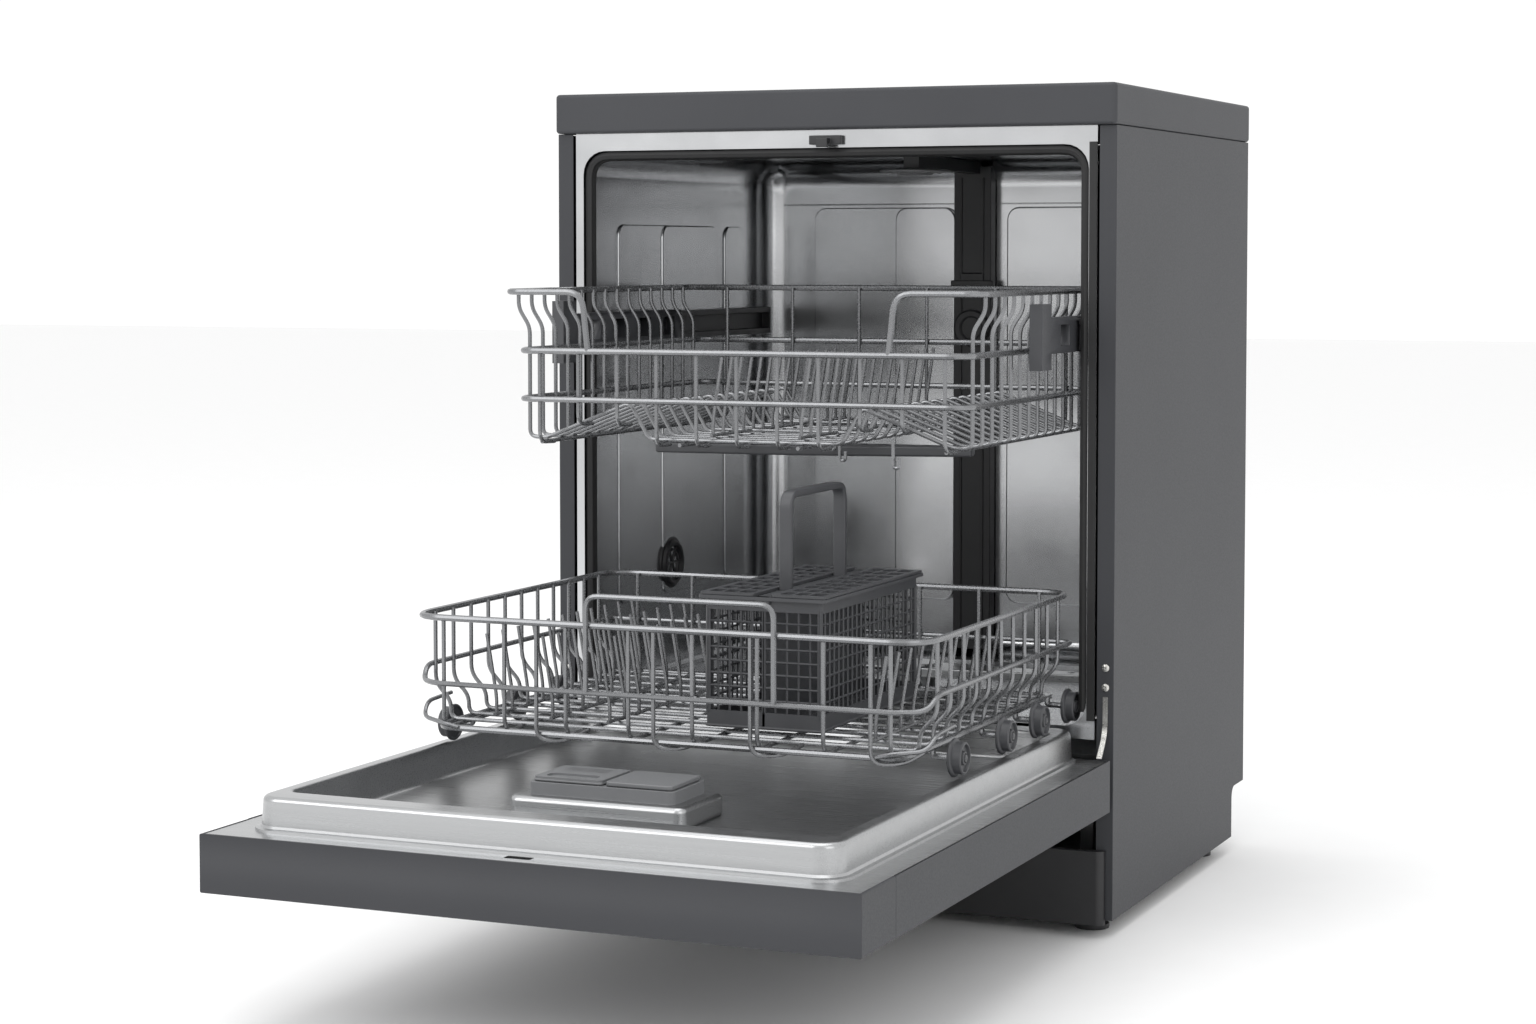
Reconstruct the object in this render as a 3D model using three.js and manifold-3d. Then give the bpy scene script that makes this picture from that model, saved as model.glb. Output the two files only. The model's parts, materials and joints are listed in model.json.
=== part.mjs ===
// Free-standing 60 cm dishwasher with its door open and both baskets pulled out.
// Millimetres, +Z up, +X to the machine's right as seen from behind the door, -Y towards the user.
// While the pieces are built, y = 0 is the front plane of the side panels and z = 0 is the floor.
// At the end the group moves along Y, so that the object's box is centred on the origin.
import * as THREE from "three";
import { mergeVertices } from "three/addons/utils/BufferGeometryUtils.js";
import Module from "manifold-3d";

const wasm = await Module();
wasm.setup();

// ---------------------------------------------------------------- driving dimensions

// Cabinet
const WIDTH = 598;
const HEIGHT = 822;
const DEPTH = 505;
const LID_HEIGHT = 40;
const LID_OVERHANG = 6;
const LID_EDGE = 4;
const SHEET = 1.2;
const GAP = 0.4;
const SIDE_INSET = 1;
const SIDE_FLANGE = 17;
const SIDE_LIFT = 17;
const NOTCH_DEPTH = 52;
const NOTCH_TOP = 72;
const NOTCH_RADIUS = 12;
const PLINTH_TOP = 85;
const PLINTH_LIFT = 13;
const PLINTH_INSET = 8;
const PLINTH_FRONT = 9;
const BASE_WALL = 2.5;
const BASE_FRONT = 12;
const FOOT_RADIUS = 17;
const FOOT_PAD = 8;
const FOOT_STEM = 5;
const FOOT_INSET = 34;
const FOOT_FRONT = 42;
const FOOT_REAR_SPACE = 28;

// Tub
const TUB_SIDE_SPACE = 29;
const TUB_CEILING_DROP = 18;
const TUB_REAR_SPACE = 35;
const TUB_CORNER = 26;
const TUB_LOW_CORNER = 8;
const TUB_FLANGE = 8.5;
const BASIN_SIDE_LEDGE = 40;
const BASIN_END_LEDGE = 38;
const BASIN_DEPTH = 23;
const EMBOSS = 1.6;
const SEAL_WIDTH = 7;

// Door, lying open
const DOOR_FACE_Z = 124.5;
const DOOR_THICKNESS = 50;
const LINER_RISE = 29;
const PIVOT_Y = -30;
const PIVOT_Z = 144;
const DOOR_TOP_GAP = 11;
const DOOR_FOOT_Y = -10;
const FASCIA_LENGTH = 72;
const FASCIA_WALL = 2.5;
const DISH_MARGIN = 15;
const DISH_DEPTH = 27;

// Baskets
const BASKET_SIDE_SPACE = 30;
const BASKET_REAR_SPACE = 28;
const BASKET_HOME_Y = 30;
const LOWER_PULL = 420;
const UPPER_PULL = 254;
const RAIL_WIRE = 6;
const MESH_WIRE = 4;
const TINE_WIRE = 3.4;
const WELD_BITE = 2;
const END_RETURN = 34;
const LOWER_FLOOR_ABOVE_TRACK = 28.5;
const LOWER_SIDE_HEIGHT = 98;
const WHEEL_RADIUS = 17;
const WHEEL_WIDTH = 12;
const WHEEL_CLEARANCE = 1;
const FIRST_WHEEL = 78;
const LAST_WHEEL = 12;
const UPPER_TOP_DROP = 141;
const UPPER_HEIGHT = 139;
const UPPER_JOG = 12;
const ARM_RADIUS = 190;

// Places that follow from the dimensions above
const halfWidth = WIDTH / 2;
const sideHalf = halfWidth - SIDE_INSET;
const lidBottom = HEIGHT - LID_HEIGHT;
const doorTopZ = DOOR_FACE_Z + DOOR_THICKNESS;
const trackZ = doorTopZ + LINER_RISE;
const doorEdgeY = PIVOT_Y - (lidBottom - DOOR_TOP_GAP - PIVOT_Z);
const seamY = doorEdgeY + FASCIA_LENGTH;
const tubHalf = halfWidth - TUB_SIDE_SPACE;
const tubTop = lidBottom - TUB_CEILING_DROP;
const tubBack = DEPTH - TUB_REAR_SPACE;
const tubFront = SHEET + GAP;
const basinFloor = trackZ - BASIN_DEPTH;
const basinHalf = tubHalf - BASIN_SIDE_LEDGE;
const basketHalf = tubHalf - BASKET_SIDE_SPACE;
const basketDepth = tubBack - BASKET_REAR_SPACE - BASKET_HOME_Y;
const upperTopZ = tubTop - UPPER_TOP_DROP;
const armY = (BASIN_END_LEDGE + tubBack) / 2;

// ---------------------------------------------------------------- materials

const material = (color, roughness, metalness) =>
  new THREE.MeshStandardMaterial({ color, roughness, metalness });
const paint = material("#4e4f52", 0.5, 0.35);
const stainless = material("#c9cacb", 0.28, 0.95);
const mirrorSteel = material("#9fa1a3", 0.16, 0.95);
const galvanised = material("#a8abad", 0.45, 0.8);
const coatedWire = material("#b5b6b7", 0.45, 0.15);
const rubber = material("#141415", 0.75, 0);
const blackPlastic = material("#1b1b1c", 0.5, 0);
const darkPlastic = material("#3f4042", 0.5, 0);
const greyPlastic = material("#6b6c6e", 0.5, 0);
const glassBlack = material("#0b0b0d", 0.12, 0);

// ---------------------------------------------------------------- solids

const group = new THREE.Group();
group.name = "dishwasher";

// A three.js geometry as a manifold solid, after an optional matrix.
function solid(geometry, matrix) {
  const bare = new THREE.BufferGeometry();
  const flat = geometry.index ? geometry.toNonIndexed() : geometry;
  bare.setAttribute("position", flat.getAttribute("position").clone());
  if (matrix) bare.applyMatrix4(matrix);
  const merged = mergeVertices(bare, 1e-4);
  return new wasm.Manifold(
    new wasm.Mesh({
      numProp: 3,
      vertProperties: new Float32Array(merged.attributes.position.array),
      triVerts: new Uint32Array(merged.index.array),
    }),
  );
}

// A box from its two extreme corners.
function box(x0, x1, y0, y1, z0, z1) {
  const geometry = new THREE.BoxGeometry(x1 - x0, y1 - y0, z1 - z0);
  geometry.translate((x0 + x1) / 2, (y0 + y1) / 2, (z0 + z1) / 2);
  return solid(geometry);
}

// A round bar between two points, with few sides.
function bar(a, b, diameter, sides = 6) {
  const from = new THREE.Vector3(...a);
  const to = new THREE.Vector3(...b);
  const geometry = new THREE.CylinderGeometry(
    diameter / 2,
    diameter / 2,
    from.distanceTo(to),
    sides,
  );
  const along = to.clone().sub(from).normalize();
  const turn = new THREE.Quaternion().setFromUnitVectors(
    new THREE.Vector3(0, 1, 0),
    along,
  );
  const middle = from.clone().add(to).multiplyScalar(0.5);
  const matrix = new THREE.Matrix4().compose(
    middle,
    turn,
    new THREE.Vector3(1, 1, 1),
  );
  return solid(geometry, matrix);
}

// Several solids joined into one.
function weld(solids) {
  return solids.reduce((sum, next) => sum.add(next));
}

// Several solids cut out of one.
function cut(body, solids) {
  return solids.reduce((rest, next) => rest.subtract(next), body);
}

// A bent wire that lies in an upright plane at y, through points in X and Z.
function uprightWire(points, y, d) {
  return pushBack(strip(points, d), y - d / 2, y + d / 2);
}

// A bent wire that lies level at z, through points in X and Y.
function levelWire(points, z, d) {
  return pushUp(strip(points, d), z - d / 2, z + d / 2);
}

// The outline of a flat strip that follows a list of points, with mitred corners.
function strip(points, width) {
  const line = points.map(([x, y]) => new THREE.Vector2(x, y));
  const normals = [];
  for (let i = 0; i + 1 < line.length; i++) {
    const along = line[i + 1].clone().sub(line[i]).normalize();
    normals.push(new THREE.Vector2(-along.y, along.x));
  }
  const offsets = line.map((_, i) => {
    const before = normals[Math.max(i - 1, 0)];
    const after = normals[Math.min(i, normals.length - 1)];
    const mitre = before.clone().add(after).normalize();
    return mitre.multiplyScalar(width / 2 / mitre.dot(after));
  });
  const one = line.map((p, i) => p.clone().add(offsets[i]));
  const other = line.map((p, i) => p.clone().sub(offsets[i])).reverse();
  return new THREE.Shape([...one, ...other]);
}

// A flat outline in X and Y, pushed up from z0 to z1.
function pushUp(shape, z0, z1, curveSegments = 4) {
  const geometry = new THREE.ExtrudeGeometry(shape, {
    depth: z1 - z0,
    bevelEnabled: false,
    curveSegments,
  });
  geometry.translate(0, 0, z0);
  return solid(geometry);
}

// A flat outline in X and Z, pushed back from y0 to y1.
function pushBack(shape, y0, y1, curveSegments = 4) {
  const geometry = new THREE.ExtrudeGeometry(shape, {
    depth: y1 - y0,
    bevelEnabled: false,
    curveSegments,
  });
  geometry.rotateX(Math.PI / 2);
  geometry.translate(0, y1, 0);
  return solid(geometry);
}

// A rectangle with rounded corners, as an outline; its lower corners can have their own radius.
function roundedRect(x0, x1, y0, y1, r, low = r) {
  const shape = new THREE.Shape();
  shape.moveTo(x0 + low, y0);
  shape.lineTo(x1 - low, y0);
  shape.absarc(x1 - low, y0 + low, low, -Math.PI / 2, 0);
  shape.lineTo(x1, y1 - r);
  shape.absarc(x1 - r, y1 - r, r, 0, Math.PI / 2);
  shape.lineTo(x0 + r, y1);
  shape.absarc(x0 + r, y1 - r, r, Math.PI / 2, Math.PI);
  shape.lineTo(x0, y0 + low);
  shape.absarc(x0 + low, y0 + low, low, Math.PI, Math.PI * 1.5);
  return shape;
}

// An outline from a list of points.
function outline(points) {
  return new THREE.Shape(points.map(([x, y]) => new THREE.Vector2(x, y)));
}

// The mirror image of a solid on the other side of the middle plane.
function mirrored(body) {
  return body.mirror([1, 0, 0]);
}

// Adds a solid to the object as one named mesh.
function place(name, body, look) {
  const made = body.getMesh();
  const positions = new Float32Array(made.numVert * 3);
  for (let i = 0; i < made.numVert; i++) {
    const start = i * made.numProp;
    positions.set(made.vertProperties.subarray(start, start + 3), i * 3);
  }
  const geometry = new THREE.BufferGeometry();
  geometry.setAttribute("position", new THREE.BufferAttribute(positions, 3));
  geometry.setIndex(new THREE.BufferAttribute(new Uint32Array(made.triVerts), 1));
  geometry.computeVertexNormals();
  const mesh = new THREE.Mesh(geometry, look);
  mesh.name = name;
  group.add(mesh);
}

// Places a piece and its mirror image: the body given is the one on the +X side.
function placePair(stem, body, look) {
  place(stem + "_right", body, look);
  place(stem + "_left", mirrored(body), look);
}

// ---------------------------------------------------------------- cabinet

// The worktop: a slab with eased edges.
function topPanel() {
  const e = LID_EDGE;
  const shape = roundedRect(
    -halfWidth + e,
    halfWidth - e,
    -LID_OVERHANG + e,
    DEPTH - e,
    4,
  );
  const geometry = new THREE.ExtrudeGeometry(shape, {
    depth: LID_HEIGHT - 2 * e,
    bevelEnabled: true,
    bevelSize: e,
    bevelThickness: e,
    bevelSegments: 2,
    curveSegments: 2,
  });
  geometry.translate(0, 0, lidBottom + e);
  return solid(geometry);
}

// The right side panel: a sheet folded inwards at the front and the rear.
function sidePanel() {
  const rear = DEPTH - 2 * GAP - SHEET;
  const fold = outline([
    [sideHalf, 0],
    [sideHalf, rear],
    [sideHalf - SIDE_FLANGE, rear],
    [sideHalf - SIDE_FLANGE, rear - SHEET],
    [sideHalf - SHEET, rear - SHEET],
    [sideHalf - SHEET, SHEET],
    [sideHalf - SIDE_FLANGE, SHEET],
    [sideHalf - SIDE_FLANGE, 0],
  ]);
  const sheet = pushUp(fold, SIDE_LIFT, lidBottom - GAP);
  const notchFront = DEPTH - NOTCH_DEPTH;
  const notch = roundedRect(
    notchFront,
    DEPTH + 60,
    SIDE_LIFT - 60,
    NOTCH_TOP,
    NOTCH_RADIUS,
  );
  const geometry = new THREE.ExtrudeGeometry(notch, {
    depth: 2 * SIDE_FLANGE,
    bevelEnabled: false,
    curveSegments: 4,
  });
  // The outline's first axis becomes Y, its second Z, and it is pushed along X.
  const axes = new THREE.Matrix4().makeBasis(
    new THREE.Vector3(0, 1, 0),
    new THREE.Vector3(0, 0, 1),
    new THREE.Vector3(1, 0, 0),
  );
  axes.setPosition(sideHalf - 1.5 * SIDE_FLANGE, 0, 0);
  return sheet.subtract(solid(geometry, axes));
}

// The rear panel closes the cabinet above the pipe notch, with a hole for the mains inlet.
function rearPanel() {
  const edge = sideHalf - 2;
  const sheet = box(-edge, edge, DEPTH - GAP - SHEET, DEPTH - GAP, NOTCH_TOP + 3, lidBottom - GAP);
  const inlet = box(-edge + 40, -edge + 68, DEPTH - 10, DEPTH + 10, 100, 124);
  const stampings = [-0.5, 0.5].map((side) =>
    box(side * edge - 90, side * edge + 90, DEPTH - GAP - 0.2, DEPTH, 240, 640),
  );
  return weld([sheet.subtract(inlet), ...stampings]);
}

// The tray that carries the feet, the pumps and the plinth.
function baseTray() {
  const half = sideHalf - SHEET - GAP;
  const rear = DEPTH - NOTCH_DEPTH - 3;
  const floor = SIDE_LIFT + 1;
  const wall = 50;
  const outer = box(-half, half, BASE_FRONT, rear, floor, floor + wall);
  const inner = box(
    -half + BASE_WALL,
    half - BASE_WALL,
    BASE_FRONT + BASE_WALL,
    rear - BASE_WALL,
    floor + BASE_WALL,
    floor + wall + 1,
  );
  const holes = footPlaces().map(([x, y]) =>
    bar([x, y, floor - 2], [x, y, floor + 6], 2 * FOOT_STEM + 3, 16),
  );
  return cut(outer, [inner, ...holes]);
}

// The four feet stand near the corners.
function footPlaces() {
  const x = halfWidth - FOOT_INSET;
  const rear = DEPTH - NOTCH_DEPTH - FOOT_REAR_SPACE;
  return [
    [-x, FOOT_FRONT],
    [x, FOOT_FRONT],
    [-x, rear],
    [x, rear],
  ];
}

// One screw foot: a hexagonal nut over a round pad, on a threaded stem.
function foot([x, y]) {
  return weld([
    bar([x, y, 0], [x, y, FOOT_PAD - 3], 2 * FOOT_RADIUS, 16),
    bar([x, y, FOOT_PAD - 4], [x, y, SIDE_LIFT - 1], 2 * FOOT_STEM + 9, 6),
    bar([x, y, SIDE_LIFT - 2], [x, y, SIDE_LIFT + 24], 2 * FOOT_STEM, 12),
  ]);
}

// The plinth: a shallow folded cover with rounded upright corners.
function plinth() {
  const half = halfWidth - PLINTH_INSET;
  const outer = roundedRect(-half, half, -PLINTH_FRONT, 30, 8);
  const inner = roundedRect(-half + 2, half - 2, -PLINTH_FRONT + 2, 28, 6);
  const body = pushUp(outer, PLINTH_LIFT, PLINTH_TOP, 3).subtract(
    pushUp(inner, PLINTH_LIFT - 1, PLINTH_TOP - 2, 3),
  );
  return body.subtract(box(-half - 1, half + 1, -GAP, 40, 0, PLINTH_TOP + 1));
}

// ---------------------------------------------------------------- tub

// The tub: a box of steel, open at the front, with ledges for the wheels and a sunk basin.
function tub() {
  const t = SHEET;
  const shell = (grow) =>
    pushBack(
      roundedRect(
        -tubHalf - grow,
        tubHalf + grow,
        trackZ - grow,
        tubTop + grow,
        TUB_CORNER + grow,
        TUB_LOW_CORNER + grow,
      ),
      tubFront,
      tubBack + grow,
      3,
    );
  const room = pushBack(
    roundedRect(-tubHalf, tubHalf, trackZ, tubTop, TUB_CORNER, TUB_LOW_CORNER),
    tubFront - 5,
    tubBack,
    3,
  );
  const basin = (grow, top) =>
    box(
      -basinHalf - grow,
      basinHalf + grow,
      BASIN_END_LEDGE - grow,
      tubBack - BASIN_END_LEDGE + grow,
      basinFloor - grow,
      top,
    );
  const flange = box(
    -tubHalf - TUB_FLANGE,
    tubHalf + TUB_FLANGE,
    tubFront,
    tubFront + t,
    trackZ - 12,
    lidBottom - GAP,
  );
  const steel = weld([shell(t), flange, basin(t, trackZ - t / 2)]);
  const open = cut(steel, [room, basin(0, trackZ + 20)]);
  const holes = [
    bar([filterX, filterY, 0], [filterX, filterY, trackZ], 2 * SUMP_HOLE, 20),
    bar([saltX, saltY, 0], [saltX, saltY, trackZ], 2 * SALT_NECK + 4, 20),
  ];
  return weld([cut(open, holes), ...tubPanels()]);
}

// Raised panels pressed into the rear and side walls.
function tubPanels() {
  const low = trackZ + 70;
  const high = tubTop - 60;
  const panels = [];
  for (const side of [-1, 1]) {
    const inner = 45;
    const outer = tubHalf - 55;
    const xs = [side * inner, side * outer].sort((a, b) => a - b);
    panels.push(box(xs[0], xs[1], tubBack - EMBOSS, tubBack + 0.5, low, high));
    for (const [y0, y1] of [
      [60, armY - 40],
      [armY + 20, tubBack - 70],
    ]) {
      const wall = [side * (tubHalf + 0.5), side * (tubHalf - EMBOSS)];
      wall.sort((a, b) => a - b);
      panels.push(box(wall[0], wall[1], y0, y1, low + 180, high));
    }
  }
  return panels;
}

// The rubber seal runs up both sides of the opening and across its top.
function doorSeal() {
  const y0 = tubFront + 2;
  const y1 = y0 + SEAL_WIDTH + 1;
  const outer = pushBack(
    roundedRect(
      -tubHalf + GAP,
      tubHalf - GAP,
      trackZ - 60,
      tubTop - GAP,
      TUB_CORNER,
    ),
    y0,
    y1,
    3,
  );
  const s = SEAL_WIDTH;
  const inner = pushBack(
    roundedRect(
      -tubHalf + GAP + s,
      tubHalf - GAP - s,
      trackZ - 60 + s,
      tubTop - GAP - s,
      TUB_CORNER - s,
    ),
    y0 - 1,
    y1 + 1,
    3,
  );
  const below = box(-tubHalf - 5, tubHalf + 5, y0 - 2, y1 + 2, 0, trackZ + TUB_LOW_CORNER + 2);
  return cut(outer, [inner, below]);
}

// The keeper that the door's latch grips: a black hook on the middle of the top flange.
function latchKeeper() {
  const z = tubTop + 6;
  return weld([
    box(-17, 17, -5, tubFront - GAP, z - 3, z + 6),
    box(-6, 6, -14, -4, z - 1, z + 3),
    box(-6, 6, -14, -11, z - 6, z + 3),
  ]);
}

// The duct climbs the rear wall, then runs forward under the ceiling to the sprinkler.
const DUCT_X = -6;
const DUCT_HALF = 22;
const DUCT_DEPTH = 17;
const PORT_Z = upperTopZ - 48;
const FEED_Z = upperTopZ - UPPER_HEIGHT - 7;
function waterDuct() {
  const back = tubBack - EMBOSS - GAP;
  const front = back - DUCT_DEPTH;
  const ceiling = tubTop - GAP;
  return weld([
    box(DUCT_X - DUCT_HALF, DUCT_X + DUCT_HALF, front, back, trackZ + 6, ceiling - 6),
    box(DUCT_X - 9, DUCT_X + 9, armY, back, ceiling - 14, ceiling),
    bar([DUCT_X, front - 2, PORT_Z], [DUCT_X, back - 4, PORT_Z], 38, 12),
    bar([DUCT_X, front - 2, FEED_Z], [DUCT_X, back - 4, FEED_Z], 32, 12),
    box(DUCT_X - 14, DUCT_X + 14, front - 2, front + 2, PORT_Z + 50, PORT_Z + 62),
  ]);
}

// The sprinkler plate that hangs from the front end of the duct.
function ceilingSprinkler() {
  const top = tubTop - 2 * GAP - 14;
  return weld([
    bar([DUCT_X, armY + 12, top - 3], [DUCT_X, armY + 12, top], 76, 16),
    bar([DUCT_X, armY + 12, top - 6], [DUCT_X, armY + 12, top - 2], 40, 12),
  ]);
}

// The vent's round cap on the left wall.
const VENT_Y = 205;
const VENT_Z = trackZ + 118;
function ventCap() {
  const wall = -tubHalf + GAP;
  return weld([
    bar([wall, VENT_Y, VENT_Z], [wall + 4, VENT_Y, VENT_Z], 58, 18),
    bar([wall + 3, VENT_Y, VENT_Z], [wall + 8, VENT_Y, VENT_Z], 40, 14),
  ]);
}

// The right upper rail: a channel that opens inwards, for the basket's rollers.
const RAIL_Z = upperTopZ - 41;
const RAIL_HALF = 15;
const RAIL_DEPTH = 11;
const ROLLER_RADIUS = 8;
const RAIL_FRONT = 12.5;
function upperRail() {
  const wall = tubHalf - EMBOSS - GAP;
  const body = box(wall - RAIL_DEPTH, wall, RAIL_FRONT, tubBack - 12, RAIL_Z - RAIL_HALF, RAIL_Z + RAIL_HALF);
  const groove = box(
    wall - RAIL_DEPTH - 1,
    wall - 2,
    RAIL_FRONT - 1,
    tubBack - 16,
    RAIL_Z - ROLLER_RADIUS - 1,
    RAIL_Z + ROLLER_RADIUS + 1,
  );
  return body.subtract(groove);
}

// ---------------------------------------------------------------- water parts

const SUMP_HOLE = 46;
const filterX = 62;
const filterY = 150;
const FILTER_RADIUS = 36;
const SALT_NECK = 28;
const saltX = -138;
const saltY = 150;
const STEM_RADIUS = 11;

// The flat filter plate, with the stem that the lower spray arm turns on.
function filterPlate() {
  const z = basinFloor + GAP;
  const plate = box(-60, filterX + 70, filterY - 62, armY + 70, z, z + 2.4);
  const hole = bar([filterX, filterY, z - 1], [filterX, filterY, z + 5], 2 * FILTER_RADIUS + 3, 20);
  const stem = bar([0, armY, z + 1], [0, armY, z + 22], 2 * STEM_RADIUS, 12);
  return plate.subtract(hole).add(stem);
}

// The filter cylinder: an open cup that hangs in the sump, with a grip on top.
function filterCylinder() {
  const top = basinFloor + 8;
  const cup = bar([filterX, filterY, top - 62], [filterX, filterY, top], 2 * FILTER_RADIUS - 2, 20);
  const room = bar([filterX, filterY, top - 58], [filterX, filterY, top + 1], 2 * FILTER_RADIUS - 8, 20);
  const grip = box(
    filterX - FILTER_RADIUS + 3,
    filterX + FILTER_RADIUS - 3,
    filterY - 4,
    filterY + 4,
    top - 14,
    top + 4,
  );
  return cup.subtract(room).add(grip);
}

// The salt container's screw cap.
function saltCap() {
  const z = basinFloor + GAP;
  return weld([
    bar([saltX, saltY, z], [saltX, saltY, z + 9], 2 * SALT_NECK + 14, 20),
    box(saltX - 26, saltX + 26, saltY - 4, saltY + 4, z + 8, z + 17),
  ]);
}

// A spray arm: two blades on a hub, tapering to their tips.
function sprayArm(x, y, z, radius) {
  const blade = outline([
    [-radius, -11],
    [-30, -24],
    [30, -24],
    [radius, -11],
    [radius, 11],
    [30, 24],
    [-30, 24],
    [-radius, 11],
  ]);
  return pushUp(blade, 0, 10).translate([x, y, z]);
}

// The lower arm turns over the filter plate's stem.
function lowerSprayArm() {
  const z = trackZ + 4;
  const hub = bar([0, armY, basinFloor + 3.4], [0, armY, z + 13], 52, 16);
  const bore = bar([0, armY, 0], [0, armY, basinFloor + 24], 2 * STEM_RADIUS + 4, 12);
  return sprayArm(0, armY, z, ARM_RADIUS).add(hub).subtract(bore);
}

// The sump: a pot under the filter, open at the top.
function sump() {
  const top = basinFloor - SHEET - GAP;
  const pot = bar([filterX, filterY, 92], [filterX, filterY, top], 2 * SUMP_HOLE + 34, 20);
  const room = bar([filterX, filterY, 98], [filterX, filterY, top + 1], 2 * SUMP_HOLE, 20);
  const spout = bar([filterX - 90, filterY, 112], [filterX - 50, filterY, 112], 30, 12);
  return pot.add(spout).subtract(room);
}

// The circulation pump: a motor lying beside the sump on two feet.
function circulationPump() {
  const x0 = filterX + SUMP_HOLE + 22;
  const x1 = halfWidth - 41;
  const floor = SIDE_LIFT + 1 + BASE_WALL + GAP;
  return weld([
    bar([x0, filterY, 112], [x0 + 40, filterY, 112], 96, 16),
    bar([x0 + 34, filterY, 112], [x1, filterY, 112], 78, 16),
    box(x0 + 14, x0 + 28, filterY - 30, filterY + 30, floor, 90),
    box(x1 - 30, x1 - 16, filterY - 30, filterY + 30, floor, 96),
  ]);
}

// The water softener: a tank whose neck reaches the basin's floor.
function waterSoftener() {
  const top = basinFloor - SHEET - GAP;
  const floor = SIDE_LIFT + 1 + BASE_WALL + GAP;
  return weld([
    box(saltX - 95, saltX + 60, saltY - 70, saltY + 150, floor, top - 22),
    bar([saltX, saltY, top - 24], [saltX, saltY, top], 2 * SALT_NECK + 16, 20),
  ]);
}

// The right hinge bracket: an arm from the cabinet into the door, with the pivot pin.
const HINGE_X = tubHalf + 4;
function hingeBracket() {
  const x0 = HINGE_X - 2;
  return weld([
    box(x0, x0 + 4, PIVOT_Y - 14, 70, PIVOT_Z - 14, PIVOT_Z + 14),
    box(x0, x0 + 4, 30, 70, SIDE_LIFT + 1 + BASE_WALL + GAP, PIVOT_Z),
    bar([x0 - 5, PIVOT_Y, PIVOT_Z], [x0 + 9, PIVOT_Y, PIVOT_Z], 10, 12),
  ]);
}

// ---------------------------------------------------------------- door

// The painted outer panel: a tray under the liner, from the fascia's seam to the door's foot.
function doorOuterPanel() {
  const y0 = seamY + GAP;
  const outer = box(-sideHalf, sideHalf, y0, DOOR_FOOT_Y, DOOR_FACE_Z, doorTopZ);
  const inner = box(
    -sideHalf + SHEET,
    sideHalf - SHEET,
    y0 - 1,
    DOOR_FOOT_Y - SHEET,
    DOOR_FACE_Z + SHEET,
    doorTopZ + 1,
  );
  const slots = [-1, 1].map((side) =>
    box(
      side * HINGE_X - 6,
      side * HINGE_X + 6,
      DOOR_FOOT_Y - 5,
      DOOR_FOOT_Y + 5,
      DOOR_FACE_Z + 2,
      doorTopZ + 1,
    ),
  );
  return cut(outer, [inner, ...slots]);
}

// The control fascia: the door's free end, with a pocket handle and openings for the controls.
function controlFascia() {
  const outer = pushBack(
    roundedRect(-sideHalf, sideHalf, DOOR_FACE_Z, doorTopZ, 1.5),
    doorEdgeY,
    seamY,
    2,
  );
  const w = FASCIA_WALL;
  const inner = box(
    -sideHalf + w,
    sideHalf - w,
    doorEdgeY + w,
    seamY + 1,
    DOOR_FACE_Z + w,
    doorTopZ + 1,
  );
  const pocket = (grow) =>
    box(
      -80 - grow,
      80 + grow,
      seamY - 44 - grow,
      seamY - 12 + grow,
      DOOR_FACE_Z - 1 + (grow ? 1 : 0),
      DOOR_FACE_Z + 20 + grow,
    );
  const holes = buttonPlaces().map(([x, half]) =>
    box(x - half, x + half, controlY - 7, controlY + 7, DOOR_FACE_Z - 1, DOOR_FACE_Z + w + 1),
  );
  const shell = outer.subtract(inner).add(pocket(2));
  return cut(shell, [pocket(0), ...holes]);
}

const controlY = seamY - 30;

// The controls' places: middle and half length of each opening.
function buttonPlaces() {
  return [
    [-235, 9],
    [235, 9],
    [160, 45],
  ];
}

// A button whose cap stands proud of the fascia, with a collar behind it.
function button([x, half]) {
  const z = DOOR_FACE_Z;
  const w = FASCIA_WALL;
  const travel = 1.5;
  return weld([
    box(x - half + GAP, x + half - GAP, controlY - 6.6, controlY + 6.6, z - travel, z + w + 3),
    box(x - half - 2, x + half + 2, controlY - 9, controlY + 9, z + w + GAP, z + w + 3),
  ]);
}

// The display window, let into the fascia.
function displayWindow([x, half]) {
  const z = DOOR_FACE_Z;
  return box(x - half + GAP, x + half - GAP, controlY - 6.6, controlY + 6.6, z + 0.2, z + FASCIA_WALL);
}

// The liner: a pressed sheet with a raised rim round a shallow dish, and a slot for the latch.
const RIM_HALF = tubHalf - 4;
const LATCH_Y = doorEdgeY + 19;
function doorLiner() {
  const t = SHEET;
  const half = sideHalf - FASCIA_WALL - GAP;
  const top = doorTopZ - GAP;
  const front = doorEdgeY + FASCIA_WALL + GAP;
  const back = DOOR_FOOT_Y - SHEET - GAP;
  const sheet = box(-half, half, front, back, top - t, top);
  const rim = (shrink) =>
    pushUp(
      roundedRect(
        -RIM_HALF + shrink,
        RIM_HALF - shrink,
        doorEdgeY + 30 + shrink,
        back - shrink,
        22 - shrink,
      ),
      top - t - 1 + (shrink ? 0 : 1),
      trackZ - shrink,
      3,
    );
  const dish = (grow) =>
    pushUp(
      roundedRect(
        -RIM_HALF + DISH_MARGIN - grow,
        RIM_HALF - DISH_MARGIN + grow,
        doorEdgeY + 45 + DISH_MARGIN - grow,
        back - DISH_MARGIN - 18 + grow,
        24 + grow,
      ),
      trackZ - DISH_DEPTH - grow,
      trackZ + 1,
      3,
    );
  const slot = box(-18, 6, LATCH_Y - 5, LATCH_Y + 5, top - 5, top + 5);
  const pressed = sheet.add(rim(0)).subtract(dish(0));
  const hollow = rim(t).subtract(dish(t));
  return cut(pressed, [hollow, slot]);
}

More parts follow.
